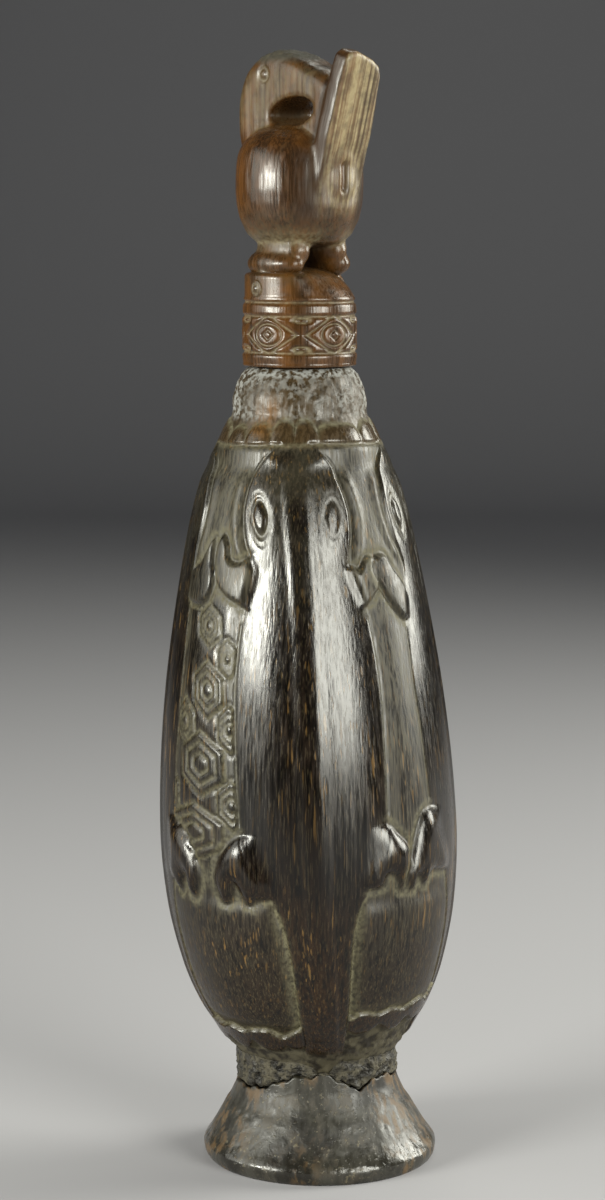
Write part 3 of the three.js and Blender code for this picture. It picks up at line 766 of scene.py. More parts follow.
def offsetsAt(angle, height):
    # arcs in mm from the four spines, and how far the nearest flank's edge is
    ground = groundRadius(height)
    offsets = [wrapped(angle - spineAngle(number, height)) * ground for number in range(4)]
    beyond = [np.abs(offset) - halfWidth(number, offset, height)
              for number, offset in enumerate(offsets)]
    return offsets, np.min(beyond, axis=0)


def near(offset, height, outline, margin=1.6):
    xs, ys = zip(*outline)
    return ((offset > min(xs) - margin) & (offset < max(xs) + margin)
            & (height > min(ys) - margin) & (height < max(ys) + margin))


def carveFlanks(rise, cuts, offsets, beyond, height):
    # lizards like low roofs with a backbone, panels a little full, and a cut beside every flank
    rise += 0.2 * shownAt(height, "upperPanels") * ease(beyond, 0.9, 4)
    rise += 0.45 * shownAt(height, "lowerPanels") * ease(beyond, 0.6, 1.7)
    rise += 0.5 * shownAt(height, "welt") * ridge(beyond - 1.9, 1.0)
    shown = shownAt(height, "cut")
    line = ridge(beyond - 0.35, 0.32) * shown
    rise -= 0.16 * line
    lowDirt = 0.45 + 0.55 * (1 - ease(height, 48, 60))
    cuts += (0.8 * line + 0.14 * ridge(beyond - 0.9, 1.2) * shown) * lowDirt
    cuts += 0.45 * ridge(beyond - 0.6, 0.75) * shownAt(height, "lowerCut")
    side, full = lizard["side"], shownAt(height, "roof")
    edge = lizard["shoulderEdge"] * (1 - full)
    for number, offset in enumerate(offsets):
        half, away = halfWidth(number, offset, height), np.abs(offset)
        roof = side - (side - edge) * np.clip(away / half, 0, 1) ** (1.4 - 0.2 * full)
        backbone = (1 - ease(away, *lizard["backbone"])) * shownAt(height, "backbone")
        roof = roof + (flask["crest"] - side) * backbone
        rise += (roof - rise) * ease(half - away, -0.35, 0.4)


def carveLimbs(rise, cuts, matt, offsets, beyond, height):
    for number, name, outline, top in limbs:
        kind = limbKinds["Arm" if name.endswith("Arm") else "Foot"]
        spot = near(offsets[number], height, outline)
        loop = roundedLoop(outline)
        away = lineDistance(offsets[number][spot], height[spot], loop, closed=True)
        dome = (1 - (1 - np.clip(-away / 3.4, 0, 1)) ** 2) ** kind["power"]
        flatTop = kind["flat"] * ease(-away, -0.3, 0.45)
        raised = top * (flatTop + (1 - kind["flat"]) * dome)
        outside = ease(beyond[spot], -1.2, 0.8)
        line = ridge(away - 0.4, 0.34) * outside
        plain = rise[spot] - 0.22 * line
        # it sinks into the lizard's own body
        sinking = ease(-beyond[spot], *kind["sinks"])
        rise[spot] = plain + np.maximum(raised - plain, 0) * (1 - sinking)
        dirty = np.maximum(0.2 * line, 0.7 * ridge(away - 0.95, 0.6) * outside)
        cuts[spot] = np.maximum(cuts[spot] * (away > 0.1), dirty)
        dulled = ease(-away, -0.2, 0.6) * (matt[spot] > kind["dull"])
        matt[spot] += (kind["dull"] - matt[spot]) * dulled


def carveEyes(rise, cuts, offsets, height):
    tall = lizard["eyeTall"]
    for offset in offsets:
        for side, place, strength in lizard["eyes"]:
            x, y = side * offset - place, height - lizard["eyeUp"]
            y = np.where(y < 0, y / 1.15, y)  # the lower point is drawn out
            almond = np.hypot(x / lizard["eyeHalf"], 0.72 * y / tall) + 0.28 * np.abs(y) / tall
            for size, depth, wide in ((1.0, 0.12, 0.08), (0.7, 0.3, 0.13)):
                line = ridge(almond - size, wide) * strength
                rise -= depth * line
                cuts += 0.3 * line
            rise += 0.22 * (1 - ease(almond, 0.35, 0.6)) * strength


def hexagonLine(across, up, half, tall):
    corner = tall * panels["corner"]
    return [(across, up - tall), (across + half, up - corner), (across + half, up + corner),
            (across, up + tall), (across - half, up + corner), (across - half, up - corner)]


def carveHexagons(rise, cuts, matt, offsets, beyond, height):
    for number in panels["hexagons"]:
        offset = offsets[(number + 1) % 4]
        field = (offset < 0) & (offset > -40) & (height > 57) & (height < 101)
        matt[field] *= 1 - 0.75 * ease(beyond[field], 1.8, 2.8)
        for before, up, half, tall in panels["shapes"]:
            middle = -math.radians(before) * float(groundRadius(up))
            outline = hexagonLine(middle, up, half, tall)
            spot = near(offset, height, outline, 0.9) & (beyond > 0.7)
            x, y = offset[spot], height[spot]
            inside = lineDistance(x, y, outline, closed=True) < 0.2
            rise[spot] = np.where(inside, 0.42, rise[spot])
            cuts[spot] = np.where(inside, 0, cuts[spot])
            matt[spot] = np.where(inside, 0.3, matt[spot])
            for size, depth in panels["lines"]:
                line = hexagonLine(middle, up, half * size, tall * size)
                cut = ridge(lineDistance(x, y, line, closed=True), 0.4)
                rise[spot] -= depth * cut
                cuts[spot] = np.maximum(cuts[spot], 0.72 * cut)


def carveNeck(rise, cuts, matt, angle, height):
    # a row of half-domes, standing out because the neck above is cut back
    uneven = angle + 0.12 * np.sin(angle * 3 + 1) + 0.05 * np.sin(angle * 7)
    turn = uneven * neckBand["domes"] / fullTurn
    across = 2 * (turn - np.floor(turn)) - 1
    lowerLine = neckBand["height"] + 0.3 * np.sin(angle * 2 + 1)
    up = (height - lowerLine) / (neckBand["tall"] + 0.5 * np.sin(angle * 4 + 2))
    bow = 1 - 0.72 * np.abs(across) ** 2.6 - np.clip(up, 0, 2) ** 2
    domed = np.sqrt(np.clip(bow, 0, 1)) * ease(up, -0.08, 0.1)
    recess = window(height, lowerLine - 0.3, lowerLine + 0.2, *neckBand["fades"])
    rise -= neckBand["depth"] * recess * (1 - domed)
    cuts += 0.95 * ridge(bow - 0.03, 0.2) * recess * (height < 133.5)
    matt *= 1 - 0.8 * recess * (domed > 0.3)
    line = ridge(height - lowerLine + 0.2, 0.36)
    rise -= 0.3 * line
    cuts += 0.7 * line


def carveHems(rise, cuts, matt, offsets, height):
    # the hem under each lower panel, the lobes below it and the putty round them
    putty = 1 - ease(height, 21.5, 23.5)
    for number in range(4):
        start = offsets[number] - halfWidth(number, 1, height)
        end = -offsets[(number + 1) % 4] - halfWidth(number + 1, -1, height)
        here = (start > 0) & (end > 0) & (start + end < 40) & (height < 40)
        share = np.where(here, start / np.maximum(start + end, 1e-6), 0)
        hem = hemCurve(share) + panels["hemShift"][number]
        line = ridge(height - hem, 0.36) * here
        rise -= 0.22 * line
        cuts += 0.75 * line + 0.12 * ridge(height - hem - 0.5, 1.2) * here
        below = here * (height < hem - 0.3) * ease(height, 20.5, 22.5)
        edge = hem - 2.3 - 2.2 * np.abs(np.sin(share * math.pi * 3.4 + 0.4 + number))
        standing = ease(height, edge - 0.5, edge + 0.5) * below
        rise[:] = np.where(below > 0, 0.95 * standing, rise)
        matt *= 1 - 0.9 * standing
        cuts *= 1 - standing * (height < hem - 0.9)
        cuts += 0.35 * ridge(height - edge + 0.4, 0.6) * below
        putty = np.maximum(putty, below * (1 - standing))
    return putty


def carved(angle, height):
    # how far the surface stands over the ground, in mm, and its dirt, dullness and putty
    offsets, beyond = offsetsAt(angle, height)
    rise, cuts = np.zeros(angle.shape), np.zeros(angle.shape)
    carveFlanks(rise, cuts, offsets, beyond, height)
    matt = ease(beyond, -0.3, 1.2)
    carveHexagons(rise, cuts, matt, offsets, beyond, height)
    carveLimbs(rise, cuts, matt, offsets, beyond, height)
    carveEyes(rise, cuts, offsets, height)
    rise *= 1 - ease(height, 127, 130)
    matt = np.maximum(matt, 0.5 * ease(height, 126, 128))
    carveNeck(rise, cuts, matt, angle, height)
    putty = carveHems(rise, cuts, matt, offsets, height)
    return rise * ease(height, 17.5, 24), np.clip(cuts, 0, 1) * ease(height, 19, 24), matt, putty


def fineSpots(angle, height):
    # where the carving is fine enough to need smaller faces
    offsets, beyond = offsetsAt(angle, height)
    fine = (np.abs(beyond) < 1.3) & (height > 22) & (height < 129)
    fine |= (height > 127.5) & (height < 133) | (height > 22) & (height < 33) & (beyond > 0)
    for number, _, outline, _ in limbs:
        fine |= near(offsets[number], height, outline, 1.0)
    for offset in offsets:
        fine |= (np.abs(np.abs(offset) - 6) < 3) & (np.abs(height - lizard["eyeUp"]) < 5.4)
    for number in panels["hexagons"]:
        offset = offsets[(number + 1) % 4]
        fine |= (offset < -11) & (offset > -35) & (beyond > 0) & (height > 56) & (height < 101.5)
    return fine


def aroundFlask(places):
    # angle, height and radius of places given in metres
    x, y, height = (places / mm).T
    return np.arctan2(x - leanAt(height), -y), height, np.hypot(x - leanAt(height), y)


def vesselProfile():
    # up the outside, down the bore and the hollow, and out through the foot's socket
    heights = [z for low, high, step in vesselCuts["rows"]
               for z in np.linspace(low, high, round((high - low) / step), endpoint=False)]
    heights = np.array(heights + [flask["mouth"]])
    bore, mouth, socket = flask["bore"], flask["mouth"], flask["socket"]
    profile = [(float(crestRadius(z)), z) for z in heights]
    profile += [(bore + 0.5, mouth), (bore, mouth - 0.5), (bore, flask["straight"])]
    for z in np.linspace(113, 25.5, 9):
        profile.append((max(float(groundRadius(z)) - flask["wall"], bore), z))
    return heights, profile + [(socket, 24.3), (socket, flask["base"])]


def makeVessel():
    heights, profile = vesselProfile()
    outer, columns = len(heights), 4 * sum(vesselCuts["columns"])
    bm = spun(profile, columns, closed=True)
    mesh = bpy.data.meshes.new("vesselCarved")
    bm.to_mesh(mesh)
    rows, turns = gridOf(mesh, columns)
    angles = np.array([columnAngles(z) for z in heights])
    reach, z = np.array(profile, dtype=float)[rows].T
    ring = np.minimum(rows, outer - 1)
    reach = np.where(rows < outer, groundRadius(heights)[ring], reach)
    turned = angles[np.where(rows == len(profile) - 1, 0, ring), turns]
    for vert, place in zip(bm.verts, roundPlaces(reach, turned, z, leanAt(z)) * mm):
        vert.co = place
    # smaller faces where the carving is fine
    bm.faces.ensure_lookup_table()
    centres = np.array([face.calc_center_median() for face in bm.faces])
    angle, height, radius = aroundFlask(centres)
    chosen = fineSpots(angle, height) & (radius > groundRadius(height) - 1)
    edges = {edge for index in np.where(chosen)[0] for edge in bm.faces[index].edges}
    bmesh.ops.subdivide_edges(bm, edges=list(edges), cuts=1, use_grid_fill=True)
    bm.to_mesh(mesh)
    bm.free()
    places = vectorsOf(mesh)
    angle, height, radius = aroundFlask(places)
    ground = groundRadius(height)
    outside = radius > ground - 1
    up = height[outside]
    rise, cuts, matt, putty = carved(angle[outside], up)
    # crust round the neck and putty at the foot are lumpy
    crust = 0.3 * ease(up, 131.5, 134) + 0.4 * putty
    lumps = np.zeros(len(crust))
    spots = places[outside][crust > 0] / mm
    lumps[crust > 0] = layered(spots, vesselCuts["lumps"]) - 0.3
    carvedReach = np.minimum(ground[outside] + rise, crestRadius(up))
    radius[outside] = carvedReach + np.minimum(lumps * crust, 0.1) - vesselCuts["clearance"]
    setPlaces(mesh, roundPlaces(radius, angle, height, leanAt(height)))
    degrees = np.degrees(angle)
    amber = sum(strength * ridge(degrees - around, wide) * ridge(height - up, tall)
                for strength, around, wide, up, tall in vesselCuts["amber"])
    grime, plainness, covered = np.zeros(len(radius)), np.ones(len(radius)), np.zeros(len(radius))
    grime[outside], plainness[outside], covered[outside] = cuts, matt, putty
    # the crust mask is heaviest on the left and right of the neck; on the left it is partly a
    # painted highlight
    setMasks(mesh, grime=grime, matt=plainness, amber=amber, putty=covered,
             lime=0.32 + 0.6 * np.abs(np.sin(angle - 0.1)) ** 1.5)
    keepMesh("vesselCarved", mesh, "flask", "palm_wood", palm, "vessel")


makeVessel()


# ---- the foot, with an uneven lip that the putty covers
foot = {
    "side": [(0, 20.15), (0.5, 20.5), (1.3, 20.8), (2.4, 20.88), (3.2, 20.5), (4.2, 19.75),
             (6.4, 18.35), (9.4, 16.65), (10.8, 15.7), (13.8, 14.45), (15.2, 14.2), (18.6, 14.05)],
    "lip": [(-180, 14.6), (-140, 15.4), (-100, 14.2), (-66, 13.8), (-42, 14.7), (-19, 17),
            (-3, 17.6), (6, 18.1), (17, 16.6), (30, 14.8), (52, 16.3), (90, 14.4), (130, 15.6),
            (180, 14.6)],
    "top": 18, "shoulder": 15.0, "spigot": 10.0, "spigotTop": 24.0, "columns": 220, "rows": 44,
    "clearance": 0.05, "waves": [(0.28, 9, 11), (0.1, 2.6, 12)],  # waves: depth, size, seed
}
footCurve, lipCurve = through(foot["side"]), through(foot["lip"])


def lipAt(degrees):
    angle = np.radians(degrees)
    return lipCurve(degrees) + 0.22 * np.sin(19 * angle) + 0.16 * np.sin(41 * angle + 1)


def makeFoot():
    rows, top, shoulder = foot["rows"], foot["top"], foot["shoulder"]
    spigot, spigotTop = foot["spigot"], foot["spigotTop"]
    profile = [(0, 0), (12, 0), (foot["side"][0][1] - 0.4, 0)]
    start = len(profile)
    profile += [(float(footCurve(top * k / rows)), 0.1 + top * k / rows) for k in range(rows + 1)]
    end = len(profile)
    profile += [(13.35, top), (13.3, shoulder), (spigot, shoulder), (spigot, spigotTop - 0.8),
                (spigot - 0.8, spigotTop), (0, spigotTop)]
    mesh, ring, angle, plain, z = turnedMesh("footTurned", profile, foot["columns"])
    lip = lipAt(np.degrees(angle))
    side = (ring >= start) & (ring < end)
    z = np.where(side, lip * np.clip((ring - start) / rows, 0, 1), z)
    radius = np.where(side, footCurve(z), plain)
    z = np.where(ring == end, lip - 0.25, z)
    z = np.where(ring == end + 1, np.minimum(lip - 0.4, shoulder), z)
    # hand-shaped: slow waves, a few knife facets and small pits
    spots = roundPlaces(radius, angle, z)[side]
    waves = layered(spots, foot["waves"])
    pits = -0.22 * np.clip(roughness3d(spots, 1.1, 13) - 0.42, 0, 1) * 3
    uneven = (waves + pits) * ease(z[side], 0, 1.2)
    radius[side] += np.minimum(uneven, 0.02) - foot["clearance"]
    setPlaces(mesh, roundPlaces(radius, angle, z, leanAt(z)))
    around = np.degrees(angle)
    warm = ease(-around, 34, 60) + ease(around, 30, 48)
    warm += 0.8 * ridge(around + 8, 7) * (1 - ease(z, 4, 8)) + 0.7 * ridge(z - lip, 1.6) * side
    setMasks(mesh, worn=np.where(side, 1 - ease(z, 3.5, 6.5), 0), warm=np.clip(warm, 0, 1))
    keepMesh("footTurned", mesh, "flask", "foot_wood", footFinish, "foot")


makeFoot()


# ---- the putty bead, pressed on by hand
bead = {
    "top": [(-180, 20.4), (-150, 19.8), (-110, 20.3), (-72, 19.9), (-50, 20.4), (-30, 20.2),
            (-14, 20.3), (-4, 19.6), (3, 17.8), (9, 18.2), (16, 20.3), (35, 20.4), (60, 20.2),
            (100, 19.6), (140, 20.4), (180, 20.4)],
    "outer": [(13.4, 14.25), (15.2, 14.3), (17, 14.25), (18.2, 14.4), (19.7, 15.2), (20.5, 15.75)],
    "columns": 420, "rows": 40, "gap": 0.15, "least": 13.5, "most": 20.45,
    "back": [0.97, 0.5, 0.03],  # shares of the height down the hidden side
    # hollows: degrees round, height, width
    "hollows": [(-13.5, 18.6, 0.9), (15.5, 18.9, 0.8), (-30, 17.4, 0.6), (24, 16.2, 0.6),
                (-48, 16.4, 0.7)],
    # lumps: depth, size, seed
    "lumps": [(0.42, 2.2, 21), (0.34, 0.9, 22), (0.2, 0.45, 23)],
}
beadTop, beadOuter = through(bead["top"]), through(bead["outer"])


def makeBead():
    rows = bead["rows"]
    profile = [(14.2, 14 + 6 * k / rows) for k in range(rows + 1)]
    profile += [(13.4, 20), (13.4, 17), (13.4, 14)]
    mesh, ring, angle, *_ = turnedMesh("puttyBead", profile, bead["columns"], closed=True)
    degrees = np.degrees(angle)
    low = np.maximum(lipAt(degrees) + bead["gap"], bead["least"])
    high = np.minimum(beadTop(degrees), bead["most"])
    share = np.concatenate([np.arange(rows + 1) / rows, bead["back"]])[ring]
    z = low + (high - low) * share
    inside = ring > rows
    under = groundRadius(z)
    cover = np.maximum(beadOuter(z) - under, 0.25)
    edge = np.minimum(np.sqrt(np.clip(share / 0.12, 0, 1)), ease(1 - share, 0, 0.42))
    radius = np.where(inside, under - 0.35, under + cover * (0.06 + 0.94 * edge))
    spots = roundPlaces(radius, angle, z)
    lumps = layered(spots, bead["lumps"])
    hollow = np.clip(roughness3d(spots, 1.3, 24) - 0.3, 0, 1) * 3
    for around, up, wide in bead["hollows"]:
        hollow += 0.9 * ridge(np.hypot(np.radians(degrees - around) * 14.2, z - up), wide)
    shaped = (lumps - 0.7 * np.clip(hollow, 0, 1.1)) * edge
    radius = np.where(inside, radius, np.maximum(radius + shaped, under - 0.2))
    z = z + np.where(inside, 0, 0.25 * roughness3d(spots, 1.2, 25) * (1 - edge))
    setPlaces(mesh, roundPlaces(radius, angle, z, leanAt(z)))
    setMasks(mesh, grime=np.where(inside, 1, np.clip(hollow * 0.9, 0, 1)))
    keepMesh("puttyBead", mesh, "flask", "putty", puttyPaste, "foot_seal")


makeBead()


# ---- the stopper's collar and plug
collar = {
    "axis": -3.7, "base": 141.3, "radius": 10.0, "side": 11.2, "height": 17.0,
    "dome": [(0, 1), (0.4, 0.87), (0.75, 0.65), (0.93, 0.4), (1, 0.02)], "domeRows": 14,
    "rings": [143.75, 150.0, 152.35], "ringWidth": 0.32, "ringDepth": 0.38,
    "units": 5, "firstUnit": -34.0, "columns": 360,
    "plugTip": 5.2, "plugTaper": 0.5, "plugLength": 16.0, "plugBevel": 0.4, "plugRows": 5,
    # under the left foot the wall goes straight up, to this radius and height
    "wallTurn": -62, "wallRadius": 9.55, "wallHeight": 15.6,
    # where the side draws in: depth, height, width
    "drawnIn": [(0.25, 141.3, 1.2), (0.45, 156, 4.2)],
}


def collarPattern(angle, z):
    # rings, concentric diamonds and the crossed bands between them
    rise = np.zeros(z.shape)
    for ring in collar["rings"]:
        rise -= collar["ringDepth"] * ridge(z - ring, collar["ringWidth"])
    low, high = collar["rings"][:2]
    tall, step = (high - low) / 2, 360 / collar["units"]
    turn = (np.degrees(angle) - collar["firstUnit"] + step / 2) % step - step / 2
    across = np.abs(np.radians(turn)) * collar["radius"]
    wide = math.radians(step / 2) * collar["radius"]
    up = z - (low + high) / 2
    diamond = across / (wide * 0.86) + np.abs(up) / (tall * 1.1)
    oval = np.hypot(across / (wide * 0.42), up / (tall * 0.6))
    pip = across / (wide * 0.17) + np.abs(up) / (tall * 0.28)
    cut = 0.42 * ridge((diamond - 1) * tall * 0.75, 0.24)
    cut = np.maximum(cut, 0.4 * ridge((oval - 1) * tall * 0.6, 0.22))
    cut = np.maximum(cut, 0.32 * ridge((pip - 1) * tall * 0.28, 0.2))
    # lens shapes above and below each crossing
    for side in (-1, 1):
        lens = np.hypot((wide - across) / (wide * 0.4), (up - side * tall * 0.78) / (tall * 0.26))
        cut = np.maximum(cut, 0.45 * (1 - ease(lens, 0.5, 1.0)) * ease(lens, 0, 0.5))
    return rise - cut * window(z, low, low + 0.3, high - 0.3, high)


def collarProfile():
    base, radius, tip = collar["base"], collar["radius"], collar["plugTip"]
    rows = collar["domeRows"]
    foot, bevel, plugRows = base - collar["plugLength"], collar["plugBevel"], collar["plugRows"]
    heights = list(np.linspace(base + 0.5, base + 1.9, 6, endpoint=False))
    heights += list(np.linspace(base + 1.9, base + collar["side"] + 0.4, 60))
    profile = [(0, foot), (3, foot), (tip - bevel, foot), (tip, foot + bevel)]
    for k in range(1, plugRows + 1):
        share = k / plugRows
        rising = (collar["plugLength"] - bevel) * share
        profile.append((tip + collar["plugTaper"] * share, foot + bevel + rising))
    profile += [(radius - 1.2, base), (radius - 0.35, base), (radius - 0.12, base + 0.18)]
    start = len(profile)
    profile += [(radius, z) for z in heights]
    end, domeCurve, top = len(profile), through(collar["dome"]), heights[-1]
    for k in range(1, rows):
        up = top + (base + collar["height"] - top) * k / rows
        profile.append((float(domeCurve(k / rows)) * radius, up))
    profile += [(1.2, base + collar["height"] - 0.02), (0, base + collar["height"])]
    return profile, start, end


def makeCollar():
    base, radius = collar["base"], collar["radius"]
    profile, start, end = collarProfile()
    mesh, ring, angle, plain, z = turnedMesh("stopperCollar", profile, collar["columns"])
    side, dome = (ring >= start) & (ring < end), ring >= end
    rise = np.where(side, collarPattern(angle, z), 0)
    drawn = sum(depth * ridge(z - up, wide) for depth, up, wide in collar["drawnIn"])
    drawn = np.where(side, drawn, np.where(z > 152, drawn * plain / radius, 0))
    waves = 0.08 * roughness3d(roundPlaces(plain, angle, z), 3.2, 31) * (plain > 6.5)
    shaped = plain - drawn + rise + np.minimum(waves, 0.02)
    wall = ease(np.cos(angle - math.radians(collar["wallTurn"])), -0.45, 0.85) * dome
    edge, wallTop = collar["wallRadius"], base + collar["wallHeight"]
    upright = np.minimum(edge, shaped * 1.62)
    closing = np.minimum(upright, edge - 2.2 * ease(z, wallTop, base + collar["height"]))
    upright = np.where(z > wallTop, closing, upright)
    shaped = shaped + np.maximum(upright - shaped, 0) * wall
    places = roundPlaces(shaped, angle, z, collar["axis"])
    setPlaces(mesh, places)
    setGrain(mesh, places)
    setMasks(mesh, grime=np.clip((-rise - 0.14) * 2.9, 0, 0.8), straw=0, ash=0,
             dust=0.35 * ease(z, 154, 157) + 0.12, shade=0)
    keepMesh("stopperCollar", mesh, "stopper", "stopper_wood", stopperFinish, "stopper")


makeCollar()


# ---- the bird, in its own frame: x forward, y to its left, then turned and set on the collar
bird = {
    "turn": 132, "voxel": 0.3, "smooth": 9,
    # the round breast: radius and height from its lowest point up
    "breast": [(0, 161.6), (3.4, 161.7), (5.6, 162.0), (7.4, 162.5), (9.1, 163.8), (10.5, 166.5),
               (11.1, 169), (11.3, 171.5), (11.3, 174), (11.1, 176), (10.85, 177.5), (10.3, 178.9),
               (9.2, 180.3), (7.5, 181.5), (4.4, 182.5), (0, 182.9)],
    "head": [(-11.6, 180), (-12.6, 185), (-12.6, 189.2), (-9.4, 191.6), (-6.4, 192.6),
             (-2.8, 194.2), (2.4, 195.4), (6.8, 194.6), (10.4, 192), (12.3, 188.2), (12.7, 184),
             (12.2, 179), (9.5, 175), (0, 174), (-8, 175)],
    "headHalf": 4.2, "headRound": 3.3,
    "hole": {"at": (-2.2, 184.7), "half": (5.2, 2.3), "tilt": -6},
    # the tail board: across and along, and how far it leans back for each mm up
    "tail": {"low": 170, "lean": 16, "slope": 0.287, "thick": 3.4, "back": 6.4, "rounding": 0.6,
             "outline": [(-5.3, 0), (5.3, 0), (5.25, 12), (4.7, 22.5), (4.3, 25.2), (3.2, 26.2),
                         (1.2, 26.15), (-2.2, 24.9), (-3.9, 23.9), (-4.6, 22.2), (-5.0, 14)]},
    "rump": {"at": (-7.9, 0, 174.0), "half": (3.8, 6.2, 9.2)},
    # a leg, its foot and its toe boss: half sizes, place on the left, segments
    "legs": [((5.8, 3.3, 3.6), (-0.6, 4.3, 161.2), 40), ((6.4, 3.4, 2.7), (0.2, 5.4, 158.9), 40),
             ((2.6, 1.9, 2.7), (0.4, 8.3, 154.7), 24)],
    "eye": {"at": (4.7, 191.2), "radius": 1.1},
    # ovals: the middle, then half sizes; and the slit's half width, height, half length, end
    "almond": ((0, 173.8), (3.5, 4.4)), "boss": ((0.4, 154.7), (1.7, 1.9)),
    "slit": (0.55, 173.6, 2.0, 0.6),
}


def modified(mesh, kind, **settings):
    # the mesh with one modifier applied
    holder = linked(mesh.name, mesh)
    modifier = holder.modifiers.new(kind, kind)
    for name, value in settings.items():
        setattr(modifier, name, value)
    graph = bpy.context.evaluated_depsgraph_get()
    made = bpy.data.meshes.new_from_object(holder.evaluated_get(graph))
    bpy.data.objects.remove(holder)
    bpy.data.meshes.remove(mesh)
    return made


def rotated(bm, degrees, axis):
    turn = Matrix.Rotation(math.radians(degrees), 3, axis)
    bmesh.ops.rotate(bm, cent=(0, 0, 0), matrix=turn, verts=bm.verts[:])


def ball(size, place, segments=40):
    bm = bmesh.new()
    bmesh.ops.create_uvsphere(bm, u_segments=segments, v_segments=segments // 2, radius=1)
    bmesh.ops.scale(bm, vec=size, verts=bm.verts[:])
    bmesh.ops.translate(bm, vec=place, verts=bm.verts[:])
    return meshFrom(bm, "ball")


def slab(outline, direction, thickness, rounding):
    # a face grown along a direction, with its two rims rounded
    bm, along = bmesh.new(), Vector(direction)
    face = bm.faces.new([bm.verts.new(place) for place in outline])
    grown = bmesh.ops.extrude_face_region(bm, geom=[face])
    moved = [v for v in grown["geom"] if isinstance(v, bmesh.types.BMVert)]
    bmesh.ops.translate(bm, vec=along * thickness, verts=moved)
    bmesh.ops.recalc_face_normals(bm, faces=bm.faces[:])
    rims = [e for e in bm.edges if abs((e.verts[0].co - e.verts[1].co).dot(along)) < 1e-6]
    bmesh.ops.bevel(bm, geom=rims, offset=rounding, offset_type="OFFSET", affect="EDGES",
                    segments=4, profile=0.5, material=-1, clamp_overlap=True)
    return bm


def headMesh():
    half, hole = bird["headHalf"], bird["hole"]
    outline = [(x, -half, z) for x, z in roundedLoop(bird["head"], 56)]
    head = meshFrom(slab(outline, (0, 1, 0), 2 * half, bird["headRound"]), "head")
    bm = bmesh.new()
    bmesh.ops.create_cone(bm, cap_ends=True, segments=40, radius1=1.25, radius2=0.5, depth=14)
    rotated(bm, 90, "X")  # the wider mouth on the bird's left
    bmesh.ops.scale(bm, vec=(hole["half"][0], 1, hole["half"][1]), verts=bm.verts[:])
    rotated(bm, -hole["tilt"], "Y")
    bmesh.ops.translate(bm, vec=(hole["at"][0], 0, hole["at"][1]), verts=bm.verts[:])
    spare = meshFrom(bm, "holeCutter")
    cutter = linked("holeCutter", spare)
    head = modified(head, "BOOLEAN", operation="DIFFERENCE", object=cutter, solver="EXACT")
    bpy.data.objects.remove(cutter)
    bpy.data.meshes.remove(spare)
    return head


def tailMesh():
    tail = bird["tail"]
    outline = [(0, y, z) for y, z in tail["outline"]]
    bm = slab(outline, (-1, 0, 0), tail["thick"], tail["rounding"])
    rotated(bm, -tail["lean"], "Y")
    bmesh.ops.translate(bm, vec=(-tail["back"], 0, tail["low"]), verts=bm.verts[:])
    return meshFrom(bm, "tail")


def birdMesh():
    # every part of the bird, remeshed to one skin
    breast = spun(bird["breast"], 72)
    bmesh.ops.scale(breast, vec=(1 / mm, 0.97 / mm, 1 / mm), verts=breast.verts[:])
    parts = [meshFrom(breast, "breast"), headMesh(), tailMesh()]
    parts.append(ball(bird["rump"]["half"], bird["rump"]["at"]))
    for side in (-1, 1):
        parts += [ball(size, (x, side * y, z), count) for size, (x, y, z), count in bird["legs"]]
    joined = bmesh.new()
    for part in parts:
        joined.from_mesh(part)
        bpy.data.meshes.remove(part)
    bmesh.ops.recalc_face_normals(joined, faces=joined.faces[:])
    skin = meshFrom(joined, "birdParts")
    return modified(skin, "REMESH", mode="VOXEL", voxel_size=bird["voxel"])


def relaxed(mesh, places, passes, strength=0.5):
    edges = np.zeros(len(mesh.edges) * 2, np.int64)
    mesh.edges.foreach_get("vertices", edges)
    first, second = edges.reshape(-1, 2).T
    count = np.bincount(edges, minlength=len(places))[:, None]
    for _ in range(passes):
        total = np.zeros(places.shape)
        np.add.at(total, first, places[second])
        np.add.at(total, second, places[first])
        places = places + (total / count - places) * strength
    return places


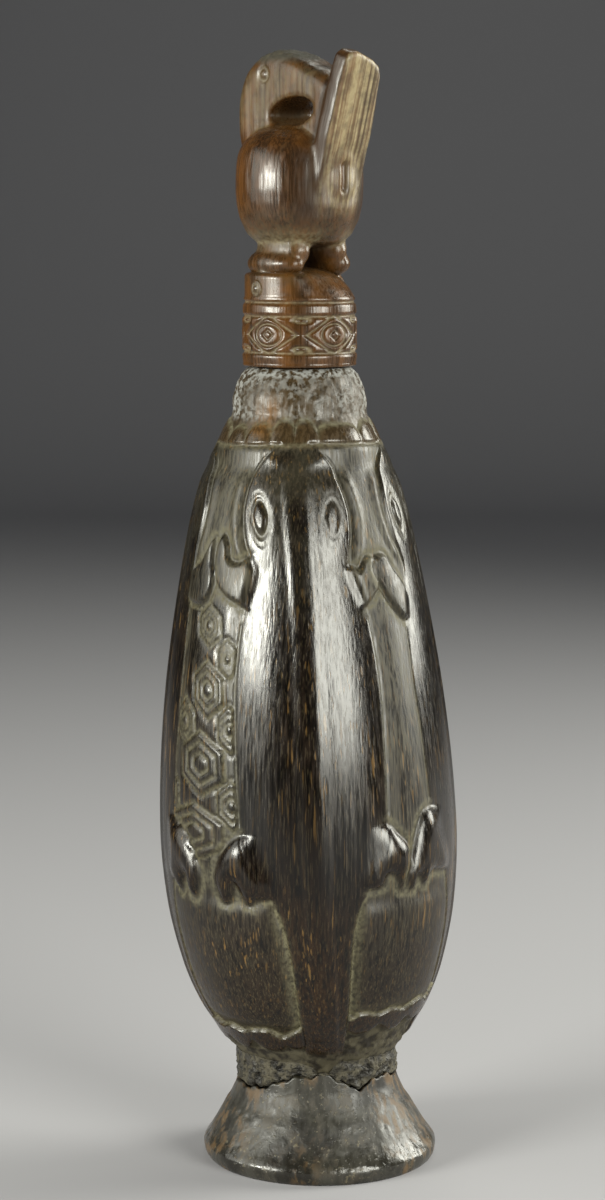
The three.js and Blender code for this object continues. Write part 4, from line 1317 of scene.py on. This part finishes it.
def makeBird():
    mesh = birdMesh()
    mesh.name = "stopperBird"
    places = relaxed(mesh, vectorsOf(mesh), bird["smooth"])
    mesh.vertices.foreach_set("co", places.astype(np.float32).ravel())
    mesh.update()
    normals = vectorsOf(mesh, "normal")
    x, y, z = places.T
    sideways, across = np.abs(normals[:, 1]), np.abs(y)
    # ringed eye on each cheek
    eye, slope = bird["eye"], bird["tail"]["slope"]
    away = np.hypot(x - eye["at"][0], z - eye["at"][1])
    cheek = ease(sideways, 0.5, 0.8)
    rise = (0.15 * ridge(away, 0.5) - 0.3 * ridge(away - eye["radius"], 0.3)) * cheek
    # the almond on the rump, with its slit
    back = ease(-x, 8.5, 9.6)
    almond = ovalShare(y, z, *bird["almond"])
    slitHalf, slitUp, slitTall, slitEnd = bird["slit"]
    slit = np.hypot(y / slitHalf, np.maximum(np.abs(z - slitUp) - slitTall, 0) / slitEnd)
    rise -= (0.16 * ridge((almond - 1) * 3.2, 0.7) + 0.8 * ridge(slit, 1.1)) * back
    # rings on the toe bosses
    boss = ovalShare(x, z, *bird["boss"])
    rise -= 0.3 * (ridge(boss - 1, 0.25) + ridge(boss - 0.45, 0.2)) * ease(across, 7.9, 8.7)
    # the dip between breast and rump
    dip = ridge(across - 6.3, 2.6) * ease(-x, 5.5, 8.0) * window(z, 163, 168, 177, 181)
    rise -= 0.25 * dip
    # knife marks along the tail and on the crown
    crown = ease(z, 192.6, 194.2) * (1 - ease(-x, 6, 9))
    rise += 0.22 * crown * roughness3d(places, 0.9, 41)
    rise += 0.06 * roughness3d(places * (1, 1, 0.25), 1.0, 42)
    before = relaxed(mesh, places, 4)
    cavity = np.einsum("ij,ij->i", before - places, normals)
    shaped = places + normals * np.clip(rise, -1, 0.15)[:, None]
    turn = math.radians(bird["turn"])
    forward, left, up = shaped.T
    setPlaces(mesh, np.stack([
        forward * math.cos(turn) - left * math.sin(turn) + collar["axis"],
        forward * math.sin(turn) + left * math.cos(turn), up,
    ], axis=1))
    # the tail's grain runs along it, and it leans
    behind = -(x + (z - 181) * slope)
    before[:, 0] += slope * (z - 176 + np.hypot(z - 176, 2)) / 2 * ease(behind, 7.4, 9.0)
    setGrain(mesh, before)
    # pale: straw on the back of the tail and on the cheeks, and painted light on the floor of the
    # hole
    tail = ease(-normals[:, 0], 0.35, 0.7) * ease(-x, 8.5, 10.5)
    tail *= (0.8 * ease(z, 166, 171) + 0.2 * ease(z, 175, 180)) * (1 - ridge(slit, 1.2) * back)
    cheeks = 0.25 * cheek * window(z, 180.5, 183, 190.5, 193) * ease(x, -9, -7)
    at, half = bird["hole"]["at"], bird["hole"]["half"]
    hole = ovalShare(x, z, at, (half[0] * 1.15, half[1] * 1.25))
    inside = (1 - ease(hole, 0.85, 1.1)) * (1 - ease(sideways, 0.45, 0.75))
    # painted light: the lower part of the hole is made paler, as if lit
    holeFloorLight = 0.16 * inside * ease(at[1] - z, -0.5, 1.8)
    straw = np.clip(np.maximum(np.maximum(tail, cheeks), holeFloorLight), 0, 1)
    # painted shade: in the upper part of the hole, on the tail's narrow side, in the dip and
    # between the legs
    board = ease(z, 177, 181) * ease(behind, 7.4, 8.6) * ease(sideways, 0.55, 0.85)
    shade = 0.3 * inside * ease(z, at[1] - 1.5, at[1] + 1) + 0.8 * board + 0.9 * dip
    shade += 0.7 * (1 - ease(z, 161.5, 163)) * (1 - ease(across, 1.6, 2.8))
    # dust on the legs and the head, dirt in everything that is cut in
    dust = 0.6 * window(z, 160.5, 162.5, 164, 171) + 0.5 * ease(z, 180, 186) * (1 - tail)
    dust = dust * (1 - inside) * (1 - board) + 0.25 * (z < 161)
    hidden = np.clip(np.maximum(-(rise + 0.25 * dip) * 2.2, cavity * 14), 0, 1)
    hidden *= 1 - 0.9 * ridge(slit, 1.3) * back
    joint = 0.55 * ridge(z - 163.0, 1.3) * ease(across, 1.5, 3)
    grime = np.clip(0.85 * hidden + joint, 0, 1) * (1 - 0.5 * tail)
    setMasks(mesh, grime=grime, ash=np.clip(crown * 0.9, 0, 1), straw=straw,
             shade=np.clip(shade, 0, 1), dust=np.clip(dust, 0, 1))
    keepMesh("stopperBird", mesh, "stopper", "stopper_wood", stopperFinish, "stopper")


makeBird()
